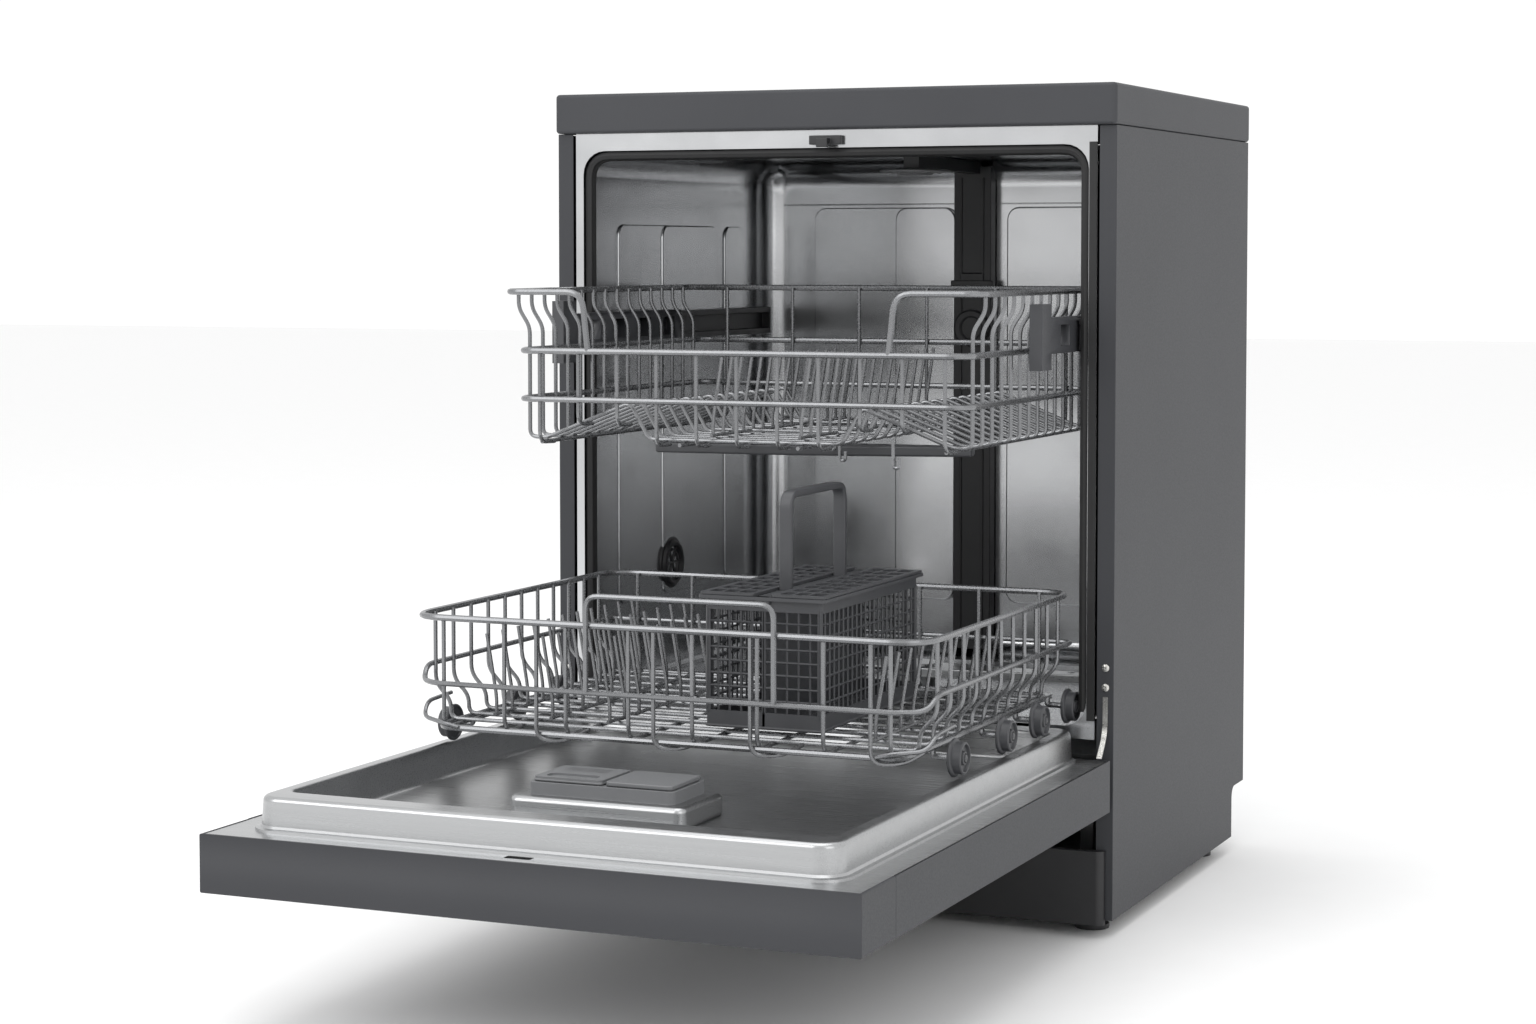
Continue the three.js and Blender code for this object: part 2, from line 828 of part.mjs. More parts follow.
// The latch: a box under the slot, with the mouth that takes the keeper.
function doorLatch() {
  const top = doorTopZ - SHEET - 2 * GAP;
  const body = box(-32, 20, doorEdgeY + FASCIA_WALL + 1, LATCH_Y + 8, top - 22, top);
  return body.subtract(box(-17, 5, LATCH_Y - 4, LATCH_Y + 4, top - 14, top + 1));
}

// The dispenser: a housing in the dish with a cup for the detergent.
const DISPENSER = { x0: -76, x1: 62, y0: doorEdgeY + 167, y1: doorEdgeY + 233, top: trackZ + 3.5 };
function dispenserHousing() {
  const d = DISPENSER;
  const floor = trackZ - DISH_DEPTH + GAP;
  const pad = pushUp(roundedRect(d.x0 - 10, d.x1 + 8, d.y0 - 3, d.y1 + 5, 8), floor, d.top - 11, 3);
  const body = pushUp(roundedRect(d.x0, d.x1, d.y0, d.y1, 6), floor, d.top, 3).add(pad);
  const cup = pushUp(roundedRect(d.x0 + 8, -12, d.y0 + 8, d.y1 - 8, 5), d.top - 12, d.top + 1, 3);
  const middle = (d.y0 + d.y1) / 2;
  const filler = bar([30, middle, d.top - 10], [30, middle, d.top + 1], 24, 14);
  return cut(body, [cup, filler]);
}

// The detergent lid slides towards the door's foot; it has a finger recess.
function detergentLid() {
  const d = DISPENSER;
  const z = d.top + GAP;
  const lid = box(d.x0 + 3, -7, d.y0 + 3, d.y1 - 3, z, z + 4);
  return lid.subtract(box(d.x0 + 12, -18, d.y0 + 8, d.y0 + 24, z + 1.5, z + 5));
}

// The rinse-aid lid lifts on its rear edge.
function rinseAidLid() {
  const d = DISPENSER;
  const z = d.top + GAP;
  return box(-4, d.x1 - 3, d.y0 + 3, d.y1 - 3, z, z + 4);
}

// ---------------------------------------------------------------- baskets

// Evenly spaced numbers from a to b.
function spaced(a, b, count) {
  return Array.from({ length: count }, (_, i) => a + ((b - a) * i) / (count - 1));
}

// A straight wire from front to rear.
function straight(x, y0, y1, z, d) {
  return box(x - d / 2, x + d / 2, y0, y1, z - d / 2, z + d / 2);
}

// The cradle: wires that go down one side, across the floor and up the other, on long rails.
function cradle({ profile, front, rear, count, sideRails, floorRails }) {
  const start = front + END_RETURN + GAP;
  const end = rear - END_RETURN - GAP;
  const hoops = spaced(start + 6, end - 6, count).map((y) => uprightWire(profile, y, MESH_WIRE));
  const long = [];
  for (const side of [-1, 1]) {
    for (const [x, z, d] of sideRails) {
      long.push(straight(side * x, start, end, z, d));
    }
  }
  for (const [x, z, d] of floorRails) {
    long.push(straight(x, front + 6, rear - 6, z, d));
  }
  return weld([...hoops, ...long]);
}

// An upright wire.
function post(x, y, z0, z1) {
  const r = MESH_WIRE / 2;
  return box(x - r, x + r, y - r, y + r, z0, z1);
}

// An end grille: rails that turn both corners, with upright wires inside them.
function endGrille({ half, y, inward, rails, uprights, foot }) {
  const back = y + inward * END_RETURN;
  const corner = y + inward * 14;
  const turned = rails.map(([z, d]) =>
    levelWire(
      [
        [-half, back],
        [-half, corner],
        [-half + 14, y],
        [half - 14, y],
        [half, corner],
        [half, back],
      ],
      z,
      d,
    ),
  );
  const inner = y + inward * (RAIL_WIRE / 2 + MESH_WIRE / 2 - WELD_BITE);
  const posts = uprights.map(([x, top]) => post(x, inner, foot, top));
  return weld([...turned, ...posts]);
}

// Rows of tines on long wires, tied together by cross wires; lean is a function of the row's x.
function tineRows({ rows, y0, y1, count, z, height, lean, ties }) {
  const parts = [];
  for (const x of rows) {
    parts.push(straight(x, y0, y1, z, TINE_WIRE));
    for (const y of spaced(y0 + 4, y1 - 4, count)) {
      parts.push(bar([x, y, z], [x + lean(x), y, z + height], TINE_WIRE, 4));
    }
  }
  const left = Math.min(...rows);
  const right = Math.max(...rows);
  const r = TINE_WIRE / 2;
  for (const y of ties) parts.push(box(left, right, y - r, y + r, z - r + 0.5, z + r - 0.5));
  return weld(parts);
}

// ---- lower basket

const lowerFront = BASKET_HOME_Y - LOWER_PULL;
const lowerRear = lowerFront + basketDepth;
const lowerFloor = trackZ + LOWER_FLOOR_ABOVE_TRACK;
const lowerTop = lowerFloor + LOWER_SIDE_HEIGHT;
const wheelZ = trackZ + WHEEL_CLEARANCE + WHEEL_RADIUS;
const wheelX0 = basketHalf + RAIL_WIRE / 2 + 3.5;
const sideWireX = basketHalf - RAIL_WIRE / 2 - MESH_WIRE / 2 + WELD_BITE;

// Four wheels on each side, closer together towards the rear.
const wheelSpan = basketDepth - FIRST_WHEEL - LAST_WHEEL;
const wheelStations = [0, 0.4, 0.7, 1].map((k) => FIRST_WHEEL + k * wheelSpan);

function lowerCradle() {
  const frame = cradle({
    profile: [
      [-sideWireX, lowerTop],
      [-sideWireX, lowerFloor + 6],
      [-sideWireX + 6, lowerFloor],
      [sideWireX - 6, lowerFloor],
      [sideWireX, lowerFloor + 6],
      [sideWireX, lowerTop],
    ],
    front: lowerFront,
    rear: lowerRear,
    count: 9,
    sideRails: [
      [basketHalf, lowerTop, RAIL_WIRE],
      [sideWireX + MESH_WIRE - WELD_BITE, lowerTop - 58, MESH_WIRE],
    ],
    floorRails: [
      ...[-1, 1].map((side) => [side * (sideWireX - 9), lowerFloor - 3, RAIL_WIRE]),
      ...[-0.6, -0.2, 0.2, 0.6].map((k) => [k * basketHalf, lowerFloor - 2, MESH_WIRE]),
    ],
  });
  const axles = wheelStations.flatMap((s) =>
    [-1, 1].map((side) => wheelAxle(side, lowerFront + s)),
  );
  return weld([frame, ...axles]);
}

// One axle: a stub from the basket's lower rail, with a head that keeps the wheel on.
function wheelAxle(side, y) {
  const inner = side * (sideWireX - 12);
  const outer = side * (wheelX0 + WHEEL_WIDTH + 0.6);
  return weld([
    bar([inner, y, wheelZ], [outer, y, wheelZ], 6, 4),
    bar([outer, y, wheelZ], [outer + side * 1.2, y, wheelZ], 11, 6),
    post(side * (sideWireX - 9), y, wheelZ, lowerFloor - 3),
  ]);
}

function lowerWheel(side, station) {
  const y = lowerFront + station;
  const a = side * wheelX0;
  const b = side * (wheelX0 + WHEEL_WIDTH);
  const tyre = bar([a, y, wheelZ], [b, y, wheelZ], 2 * WHEEL_RADIUS, 16);
  const bore = bar([a - side, y, wheelZ], [b + side, y, wheelZ], 8.4, 6);
  const dish = bar([b - side * 2.5, y, wheelZ], [b + side, y, wheelZ], 2 * WHEEL_RADIUS - 11, 10);
  return cut(tyre, [bore, dish]);
}

// The front grille carries the tall loop that is pulled by hand.
function lowerFrontGrille() {
  const grille = endGrille({
    half: basketHalf,
    y: lowerFront,
    inward: 1,
    rails: [
      [lowerTop, RAIL_WIRE],
      [lowerTop - 58, 5],
    ],
    uprights: spaced(-basketHalf + 30, basketHalf - 30, 8).map((x) => [x, lowerTop]),
    foot: lowerFloor,
  });
  const y = lowerFront - RAIL_WIRE / 2 - 1;
  const loop = uprightWire(
    [
      [-74, lowerTop - 60],
      [-74, lowerTop + 18],
      [-66, lowerTop + 27],
      [99, lowerTop + 27],
      [107, lowerTop + 18],
      [107, lowerTop - 60],
    ],
    y,
    5,
  );
  return grille.add(loop);
}

function lowerRearGrille() {
  return endGrille({
    half: basketHalf,
    y: lowerRear,
    inward: -1,
    rails: [
      [lowerTop, RAIL_WIRE],
      [lowerTop - 58, 5],
    ],
    uprights: spaced(-basketHalf + 30, basketHalf - 30, 8).map((x) => [x, lowerTop]),
    foot: lowerFloor,
  });
}

function lowerTines() {
  const leftRows = [];
  for (let x = 50 - basketHalf; x < CUTLERY.x0 - 30; x += 58) leftRows.push(x);
  return tineRows({
    rows: [...leftRows, basketHalf - 56],
    y0: lowerFront + 50,
    y1: lowerRear - 50,
    count: 9,
    z: lowerFloor + MESH_WIRE / 2 + TINE_WIRE / 2 + GAP,
    height: 74,
    lean: (x) => (x < 0 ? -10 : 10),
    ties: [lowerFront + 88, lowerRear - 88],
  });
}

// ---- cutlery basket

const CUTLERY = {
  x0: basketHalf - 220,
  x1: basketHalf - 98,
  y0: lowerFront + 40,
  y1: lowerFront + 288,
  height: 118,
};
const cutleryFloor = lowerFloor + MESH_WIRE / 2 + TINE_WIRE + 2.4;
const cutleryTop = cutleryFloor + CUTLERY.height;

function cutleryBasket() {
  const { x0, x1, y0, y1 } = CUTLERY;
  const t = 2;
  const inset = 6;
  const shell = box(x0 + inset, x1 - inset, y0 + inset, y1 - inset, cutleryFloor, cutleryTop);
  const rim = box(x0, x1, y0, y1, cutleryTop - 8, cutleryTop);
  const room = box(
    x0 + inset + t,
    x1 - inset - t,
    y0 + inset + t,
    y1 - inset - t,
    cutleryFloor + t,
    cutleryTop + 1,
  );
  const windows = [];
  for (const z of spaced(cutleryFloor + 26, cutleryTop - 32, 2)) {
    for (const y of spaced(y0 + 34, y1 - 34, 5)) {
      windows.push(box(x0 - 5, x1 + 5, y - 17, y + 17, z - 18, z + 18));
    }
    for (const x of [x0 + 35, x1 - 35]) {
      windows.push(box(x - 16, x + 16, y0 - 5, y1 + 5, z - 18, z + 18));
    }
  }
  const middle = (x0 + x1) / 2;
  const divider = box(middle - 1, middle + 1, y0 + inset + 1, y1 - inset - 1, cutleryFloor + 1, cutleryTop);
  const channel = box(middle - 7, middle + 7, y0 + 1, y1 - 1, cutleryTop - 6, cutleryTop);
  return weld([cut(weld([shell, rim]), [room, ...windows]), divider, channel, cutleryHandle(middle)]);
}

// The arched handle stands on the central channel.
function cutleryHandle(x) {
  const front = CUTLERY.y0 + 48;
  const back = CUTLERY.y1 - 52;
  const top = cutleryTop + 96;
  const arch = roundedRect(front, back, cutleryTop - 60, top, 22);
  const hole = roundedRect(front + 13, back - 13, cutleryTop - 60, top - 13, 11);
  const geometryOf = (shape, depth) =>
    new THREE.ExtrudeGeometry(shape, { depth, bevelEnabled: false, curveSegments: 3 });
  // The outline's first axis becomes Y, its second Z, and it is pushed along X.
  const axes = (start) => {
    const matrix = new THREE.Matrix4().makeBasis(
      new THREE.Vector3(0, 1, 0),
      new THREE.Vector3(0, 0, 1),
      new THREE.Vector3(1, 0, 0),
    );
    return matrix.setPosition(start, 0, 0);
  };
  const body = solid(geometryOf(arch, 12), axes(x - 6)).subtract(solid(geometryOf(hole, 20), axes(x - 10)));
  return body.subtract(box(x - 20, x + 20, front - 5, back + 5, 0, cutleryTop - 5));
}

// A slotted lid on one side of the channel, hinged on its outer edge.
function cutleryLid(side) {
  const { x0, x1, y0, y1 } = CUTLERY;
  const middle = (x0 + x1) / 2;
  const a = side < 0 ? x0 + 1 : middle + 8;
  const b = side < 0 ? middle - 8 : x1 - 1;
  const z = cutleryTop + GAP;
  const plate = box(a, b, y0 + 2, y1 - 2, z, z + 2.2);
  const slots = spaced(y0 + 28, y1 - 28, 6).map((y) =>
    box(a + 8, b - 6, y - 9, y + 9, z - 1, z + 4),
  );
  return cut(plate, slots);
}

// ---- upper basket

const upperFront = BASKET_HOME_Y - UPPER_PULL;
const upperRear = upperFront + basketDepth;
const upperFloor = upperTopZ - UPPER_HEIGHT;
const upperSide = sideWireX - UPPER_JOG;
const upperPost = upperSide - 20;

function upperCradle() {
  return cradle({
    profile: [
      [-sideWireX, upperTopZ],
      [-sideWireX, upperTopZ - 18],
      [-upperSide, upperTopZ - 32],
      [-upperSide, upperFloor],
      [-118, upperFloor + 34],
      [-98, upperFloor],
      [98, upperFloor],
      [118, upperFloor + 34],
      [upperSide, upperFloor],
      [upperSide, upperTopZ - 32],
      [sideWireX, upperTopZ - 18],
      [sideWireX, upperTopZ],
    ],
    front: upperFront,
    rear: upperRear,
    count: 9,
    sideRails: [
      [basketHalf, upperTopZ, RAIL_WIRE],
      [upperSide + MESH_WIRE - WELD_BITE, upperTopZ - 56, MESH_WIRE],
      [upperSide + MESH_WIRE - WELD_BITE, upperTopZ - 102, MESH_WIRE],
    ],
    floorRails: [-60, 60].map((x) => [x, upperFloor - 2, MESH_WIRE]),
  });
}

// The front is low in the middle, with a raised loop at each corner.
function upperFrontGrille() {
  const half = upperSide + MESH_WIRE - WELD_BITE;
  const low = endGrille({
    half,
    y: upperFront,
    inward: 1,
    rails: [
      [upperTopZ - 56, RAIL_WIRE],
      [upperTopZ - 102, 5],
    ],
    uprights: spaced(-upperPost, upperPost, 9).map((x) => [x, upperTopZ - 56]),
    foot: upperFloor,
  });
  const loop = weld([
    levelWire(
      [
        [basketHalf, upperFront + END_RETURN],
        [basketHalf, upperFront + 14],
        [basketHalf - 14, upperFront],
        [upperPost - 46, upperFront],
      ],
      upperTopZ,
      5,
    ),
    post(upperPost - 45, upperFront, upperTopZ - 56, upperTopZ),
    post(upperPost, upperFront + 2, upperTopZ - 57, upperTopZ),
  ]);
  return weld([low, loop, mirrored(loop)]);
}

function upperRearGrille() {
  return endGrille({
    half: basketHalf,
    y: upperRear,
    inward: -1,
    rails: [
      [upperTopZ, RAIL_WIRE],
      [upperTopZ - 56, 5],
    ],
    uprights: spaced(-upperPost, upperPost, 8).map((x) => [x, upperTopZ]),
    foot: upperFloor,
  });
}

function upperTines() {
  return tineRows({
    rows: [-40, 50],
    y0: upperFront + 50,
    y1: upperRear - 50,
    count: 11,
    z: upperFloor + MESH_WIRE / 2 + TINE_WIRE / 2 + GAP,
    height: 72,
    lean: () => 6,
    ties: [upperFront + 130, upperRear - 130],
  });
}

// The right height adjuster: a long carrier beside the basket, with two rollers in the rail.
function heightAdjuster() {
  const x0 = basketHalf + RAIL_WIRE / 2 + 1;
  const x1 = tubHalf - EMBOSS - GAP - RAIL_DEPTH - 1;
  const y0 = upperFront + 128;
  const y1 = upperRear - 6;
  const carrier = box(x0, x1, y0, y1, RAIL_Z - 17, RAIL_Z + 17);
  const slots = spaced(y0 + 70, y1 - 30, 4).map((y) =>
    box(x0 - 1, x1 + 1, y - 14, y + 14, RAIL_Z - 10, RAIL_Z + 10),
  );
  const lever = box(x0 - 0.6, x1, y0, y0 + 28, RAIL_Z - 32, RAIL_Z + 30);
  const rollers = [y1 - 12, y1 - 42].map((y) =>
    bar([x1 - 3, y, RAIL_Z], [x1 + 9, y, RAIL_Z], 2 * ROLLER_RADIUS, 12),
  );
  return weld([cut(carrier, slots), lever, ...rollers]);
}

const upperArmY = (upperFront + upperRear) / 2;
const upperArmZ = upperFloor - 23;

// The feed: a pipe under the basket, from a mouth that meets the duct's collar to the arm's hub.
function upperFeed() {
  const mouth = upperRear + 4;
  const z = FEED_Z;
  return weld([
    bar([DUCT_X, mouth - 18, z], [DUCT_X, mouth, z], 22, 12),
    box(DUCT_X - 10, DUCT_X + 10, upperArmY, mouth - 4, z - 4, z + 4),
    bar([DUCT_X, upperArmY, upperArmZ + 10.6], [DUCT_X, upperArmY, z + 4], 30, 12),
  ]);
}

function upperSprayArm() {
  const arm = sprayArm(0, 0, 0, ARM_RADIUS - 30).rotate([0, 0, 10]);
  return arm.translate([DUCT_X, upperArmY, upperArmZ]);
}

// ---------------------------------------------------------------- assembly

place("top_panel", topPanel(), paint);
placePair("side_panel", sidePanel(), paint);
place("rear_panel", rearPanel(), galvanised);
place("base_tray", baseTray(), blackPlastic);
place("plinth", plinth(), blackPlastic);
const footNames = ["front_left", "front_right", "rear_left", "rear_right"];
footPlaces().forEach((spot, i) => place("foot_" + footNames[i], foot(spot), blackPlastic));

place("tub", tub(), mirrorSteel);
place("door_seal", doorSeal(), rubber);
place("latch_keeper", latchKeeper(), blackPlastic);
place("water_duct", waterDuct(), blackPlastic);
place("ceiling_sprinkler", ceilingSprinkler(), greyPlastic);
place("vent_cap", ventCap(), blackPlastic);
placePair("upper_rail", upperRail(), blackPlastic);
place("filter_plate", filterPlate(), stainless);
place("filter_cylinder", filterCylinder(), greyPlastic);
place("salt_cap", saltCap(), greyPlastic);
place("lower_spray_arm", lowerSprayArm(), stainless);
place("sump", sump(), blackPlastic);
place("circulation_pump", circulationPump(), galvanised);
place("water_softener", waterSoftener(), greyPlastic);
placePair("hinge_bracket", hingeBracket(), galvanised);

place("door_outer_panel", doorOuterPanel(), paint);
place("door_liner", doorLiner(), stainless);
place("control_fascia", controlFascia(), paint);
const [powerSpot, startSpot, displaySpot] = buttonPlaces();
place("power_button", button(powerSpot), darkPlastic);
place("start_button", button(startSpot), darkPlastic);
place("display_window", displayWindow(displaySpot), glassBlack);
place("door_latch", doorLatch(), blackPlastic);
place("dispenser_housing", dispenserHousing(), greyPlastic);
place("detergent_lid", detergentLid(), greyPlastic);
place("rinse_aid_lid", rinseAidLid(), greyPlastic);

place("lower_basket_cradle", lowerCradle(), coatedWire);
place("lower_basket_front", lowerFrontGrille(), coatedWire);
place("lower_basket_rear", lowerRearGrille(), coatedWire);
place("lower_basket_tines", lowerTines(), coatedWire);
wheelStations.forEach((station, i) => {
  place("wheel_left_" + (i + 1), lowerWheel(-1, station), darkPlastic);
  place("wheel_right_" + (i + 1), lowerWheel(1, station), darkPlastic);
});
place("cutlery_basket", cutleryBasket(), darkPlastic);
place("cutlery_lid_left", cutleryLid(-1), greyPlastic);
place("cutlery_lid_right", cutleryLid(1), greyPlastic);

place("upper_basket_cradle", upperCradle(), coatedWire);
place("upper_basket_front", upperFrontGrille(), coatedWire);
place("upper_basket_rear", upperRearGrille(), coatedWire);
place("upper_basket_tines", upperTines(), coatedWire);
placePair("height_adjuster", heightAdjuster(), darkPlastic);
place("upper_feed", upperFeed(), blackPlastic);
place("upper_spray_arm", upperSprayArm(), darkPlastic);

group.position.y = -(doorEdgeY + DEPTH) / 2;

export default group;
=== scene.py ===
"""Free-standing 60 cm dishwasher with its door open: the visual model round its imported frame.

Every size below is in millimetres. Heights are above the floor, x runs to the right of the
machine, and y = 0 is the front plane of the side panels; Shape.piece() turns that to the frame.
"""

from __future__ import annotations

import json
import logging
import math
from collections.abc import Iterable, Sequence
from dataclasses import dataclass, field
from enum import Enum

import bmesh
import bpy
from mathutils import Matrix, Vector


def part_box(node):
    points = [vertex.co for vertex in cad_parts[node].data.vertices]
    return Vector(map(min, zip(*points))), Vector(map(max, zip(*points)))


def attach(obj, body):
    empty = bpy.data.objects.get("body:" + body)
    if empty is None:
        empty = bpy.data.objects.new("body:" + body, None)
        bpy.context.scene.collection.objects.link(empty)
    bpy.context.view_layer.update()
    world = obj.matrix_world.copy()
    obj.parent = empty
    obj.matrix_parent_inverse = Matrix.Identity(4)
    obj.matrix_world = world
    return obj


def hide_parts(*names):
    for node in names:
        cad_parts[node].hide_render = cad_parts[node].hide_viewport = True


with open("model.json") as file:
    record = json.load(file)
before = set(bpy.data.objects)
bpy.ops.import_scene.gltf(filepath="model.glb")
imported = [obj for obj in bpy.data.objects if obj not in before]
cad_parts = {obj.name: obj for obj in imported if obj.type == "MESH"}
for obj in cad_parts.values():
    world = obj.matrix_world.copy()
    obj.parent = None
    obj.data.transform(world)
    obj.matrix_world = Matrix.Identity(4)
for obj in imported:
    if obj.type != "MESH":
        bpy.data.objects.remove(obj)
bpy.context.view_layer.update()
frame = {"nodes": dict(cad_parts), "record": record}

log = logging.getLogger("dishwasher")

MM = 0.001
FRONT_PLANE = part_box("side_panel_left")[0][1]
TO_FRAME = Matrix.Translation((0.0, FRONT_PLANE, 0.0)) @ Matrix.Scale(MM, 4)
SMOOTH_ANGLE = math.radians(34)

BODY_OF = {
    node: body
    for body, nodes in frame["record"]["behaviour"]["bodies"].items()
    for node in nodes
}
SLOT_OF = {part["node"]: part["material_slot"] for part in frame["record"]["subparts"]}

Point = Sequence[float]


# ---------------------------------------------------------------- finishes


def linear(code: str) -> tuple[float, float, float, float]:
    """Turns an sRGB hex colour into linear RGBA.

    Args:
        code: Six hex digits after a #.

    Returns:
        The four linear channels, with full opacity.
    """
    parts = [int(code[i : i + 2], 16) / 255 for i in (1, 3, 5)]
    red, green, blue = (
        c / 12.92 if c <= 0.04045 else ((c + 0.055) / 1.055) ** 2.4 for c in parts
    )
    return red, green, blue, 1.0


def add_node(
    tree: bpy.types.NodeTree, kind: str, settings: dict | None = None, links: dict | None = None
) -> bpy.types.Node:
    """Adds one shader node.

    Args:
        tree: The material's node tree.
        kind: The node's type name.
        settings: Values by socket name, or by property name where the node has such a property.
        links: Output sockets by the name of the input that each one feeds.

    Returns:
        The new node.
    """
    node = tree.nodes.new(kind)
    for name, value in (settings or {}).items():
        if name in node.inputs and not hasattr(node, name):
            node.inputs[name].default_value = value
        else:
            setattr(node, name, value)
    for name, output in (links or {}).items():
        tree.links.new(output, node.inputs[name])
    return node


def per_mm(size: float) -> float:
    """Gives the texture scale, in metres, whose features are this many millimetres wide."""
    return 1.0 / (size * MM)


def noise(
    tree: bpy.types.NodeTree, size: float, detail: float, place: bpy.types.NodeSocket
) -> bpy.types.NodeSocket:
    """Adds a noise pattern.

    Args:
        tree: The material's node tree.
        size: Width of its features in millimetres.
        detail: How many finer layers it has.
        place: The coordinates that it is drawn on.

    Returns:
        The pattern, from 0 to 1.
    """
    settings = {"Scale": per_mm(size), "Detail": detail}
    return add_node(tree, "ShaderNodeTexNoise", settings, {"Vector": place}).outputs["Fac"]


class Axis(Enum):
    """The direction that a grain or an axle runs in."""

    X = 0
    Y = 1
    Z = 2


@dataclass(frozen=True)
class Finish:
    """What every finish shares: a base shader, two tones and a fine relief.

    Attributes:
        name: The real material and how its surface was made.
        tone: The main colour.
        other: The colour that it drifts to.
        roughness: The middle of its roughness.
        metallic: One for bare metal, zero for the rest.
        grain: Width of the finest pattern.
        relief: Height of that pattern.
        drift: Width of the slow change of colour.
        spread: How far the roughness strays to each side of its middle.
        coat: Weight of a clear coat.
        specular: Strength of the reflection of a surface that isn't metal.
    """

    name: str
    tone: str
    other: str
    roughness: float
    metallic: float = 0.0
    grain: float = 0.8
    relief: float = 0.02
    drift: float = 60.0
    spread: float = 0.05
    coat: float = 0.0
    specular: float = 0.5

    def material(self) -> bpy.types.Material:
        """Builds the node material once and returns it."""
        found = bpy.data.materials.get(self.name)
        if found:
            return found
        made = bpy.data.materials.new(self.name)
        made.use_nodes = True
        tree = made.node_tree
        shader = tree.nodes["Principled BSDF"]
        shader.inputs["Metallic"].default_value = self.metallic
        shader.inputs["Coat Weight"].default_value = self.coat
        shader.inputs["Coat Roughness"].default_value = 0.12
        shader.inputs["Specular IOR Level"].default_value = self.specular
        place = add_node(tree, "ShaderNodeTexCoord").outputs["Object"]
        fine, slow = self.patterns(tree, place)
        colour = add_node(tree, "ShaderNodeMix", {"data_type": "RGBA"})
        colour.inputs[6].default_value = linear(self.tone)
        colour.inputs[7].default_value = linear(self.other)
        tree.links.new(slow, colour.inputs[0])
        tree.links.new(colour.outputs[2], shader.inputs["Base Color"])
        rough = add_node(
            tree,
            "ShaderNodeMapRange",
            {
                "From Min": 0.3,
                "From Max": 0.7,
                "To Min": self.roughness - self.spread,
                "To Max": self.roughness + self.spread,
            },
            {"Value": fine},
        )
        tree.links.new(rough.outputs["Result"], shader.inputs["Roughness"])
        bump = add_node(
            tree,
            "ShaderNodeBump",
            {"Strength": 1.0, "Distance": self.relief * MM},
            {"Height": fine},
        )
        tree.links.new(bump.outputs["Normal"], shader.inputs["Normal"])
        return made

    def patterns(
        self, tree: bpy.types.NodeTree, place: bpy.types.NodeSocket
    ) -> tuple[bpy.types.NodeSocket, bpy.types.NodeSocket]:
        """Draws the fine relief and the slow drift of colour.

        Args:
            tree: The material's node tree.
            place: Object coordinates.

        Returns:
            The fine pattern and the slow one, each from 0 to 1.
        """
        return noise(tree, self.grain, 2.0, place), noise(tree, self.drift, 3.0, place)


@dataclass(frozen=True)
class Brushed(Finish):
    """Sheet steel with fine parallel lines from an abrasive belt.

    Attributes:
        run: The direction of the lines.
        stretch: How many times longer than wide the pattern's features are.
    """

    run: Axis = Axis.X
    stretch: float = 90.0

    def patterns(
        self, tree: bpy.types.NodeTree, place: bpy.types.NodeSocket
    ) -> tuple[bpy.types.NodeSocket, bpy.types.NodeSocket]:
        """Stretches both patterns along the brushing (see Finish.patterns)."""
        scale = [1.0, 1.0, 1.0]
        scale[self.run.value] = 1.0 / self.stretch
        lines = add_node(
            tree, "ShaderNodeMapping", {"Scale": tuple(scale)}, {"Vector": place}
        ).outputs["Vector"]
        return noise(tree, self.grain, 4.0, lines), noise(tree, self.drift, 3.0, lines)


@dataclass(frozen=True)
class Spangled(Finish):
    """Hot-dip galvanised sheet with zinc crystals."""

    def patterns(
        self, tree: bpy.types.NodeTree, place: bpy.types.NodeSocket
    ) -> tuple[bpy.types.NodeSocket, bpy.types.NodeSocket]:
        """Draws zinc crystals as cells (see Finish.patterns)."""
        cells = add_node(
            tree, "ShaderNodeTexVoronoi", {"Scale": per_mm(self.drift)}, {"Vector": place}
        )
        shade = add_node(
            tree, "ShaderNodeSeparateColor", None, {"Color": cells.outputs["Color"]}
        )
        return noise(tree, self.grain, 3.0, place), shade.outputs["Red"]


# Graphite polyester powder coat: a faint orange peel and a soft satin highlight.
POWDER_COAT = Finish(
    "graphite powder-coated steel", "#37383b", "#3c3d40", 0.5,
    grain=1.6, relief=0.03, drift=140.0, specular=0.25,
)
# High-pressure laminate in the same graphite: a tight matt grain that dulls reflections.
LAMINATE = Finish(
    "graphite laminate", "#3a3b3e", "#404144", 0.52, grain=1.1, relief=0.04,
    drift=90.0, specular=0.25,
)
# Belt-brushed stainless, bright along its lines and streaked across them.
BRUSHED_X = Brushed(
    "brushed stainless steel, lines along X", "#a7a8a9", "#b3b4b5", 0.3, metallic=1.0,
    grain=0.9, relief=0.003, drift=7.0, run=Axis.X,
)
# Bright-annealed stainless: a clouded mirror, with the slow waves of pressed thin sheet.
BRIGHT_STEEL = Finish(
    "bright-annealed stainless steel", "#b4b5b7", "#c6c7c8", 0.2, metallic=1.0, grain=46.0,
    relief=0.05, drift=180.0, spread=0.03,
)
# Hot-dip galvanised steel: dull grey crystals a few millimetres wide.
GALVANISED = Spangled(
    "galvanised steel", "#999c9e", "#a7aaac", 0.44, metallic=0.9, grain=2.0, relief=0.01,
    drift=7.0,
)
# Polyamide-coated wire: a thick dipped skin with a soft, slightly waxy highlight.
COATED_WIRE = Finish(
    "polyamide-coated wire", "#7b7c7e", "#868789", 0.26, metallic=0.75, grain=1.5, relief=0.02,
    drift=22.0, specular=0.6,
)
# EPDM rubber: black, dull, with the faint bloom of an extruded skin. The black strip of painted
# shade on the flange uses it too.
RUBBER = Finish(
    "extruded EPDM rubber", "#101011", "#1b1b1c", 0.62, grain=1.2, relief=0.03, drift=18.0
)
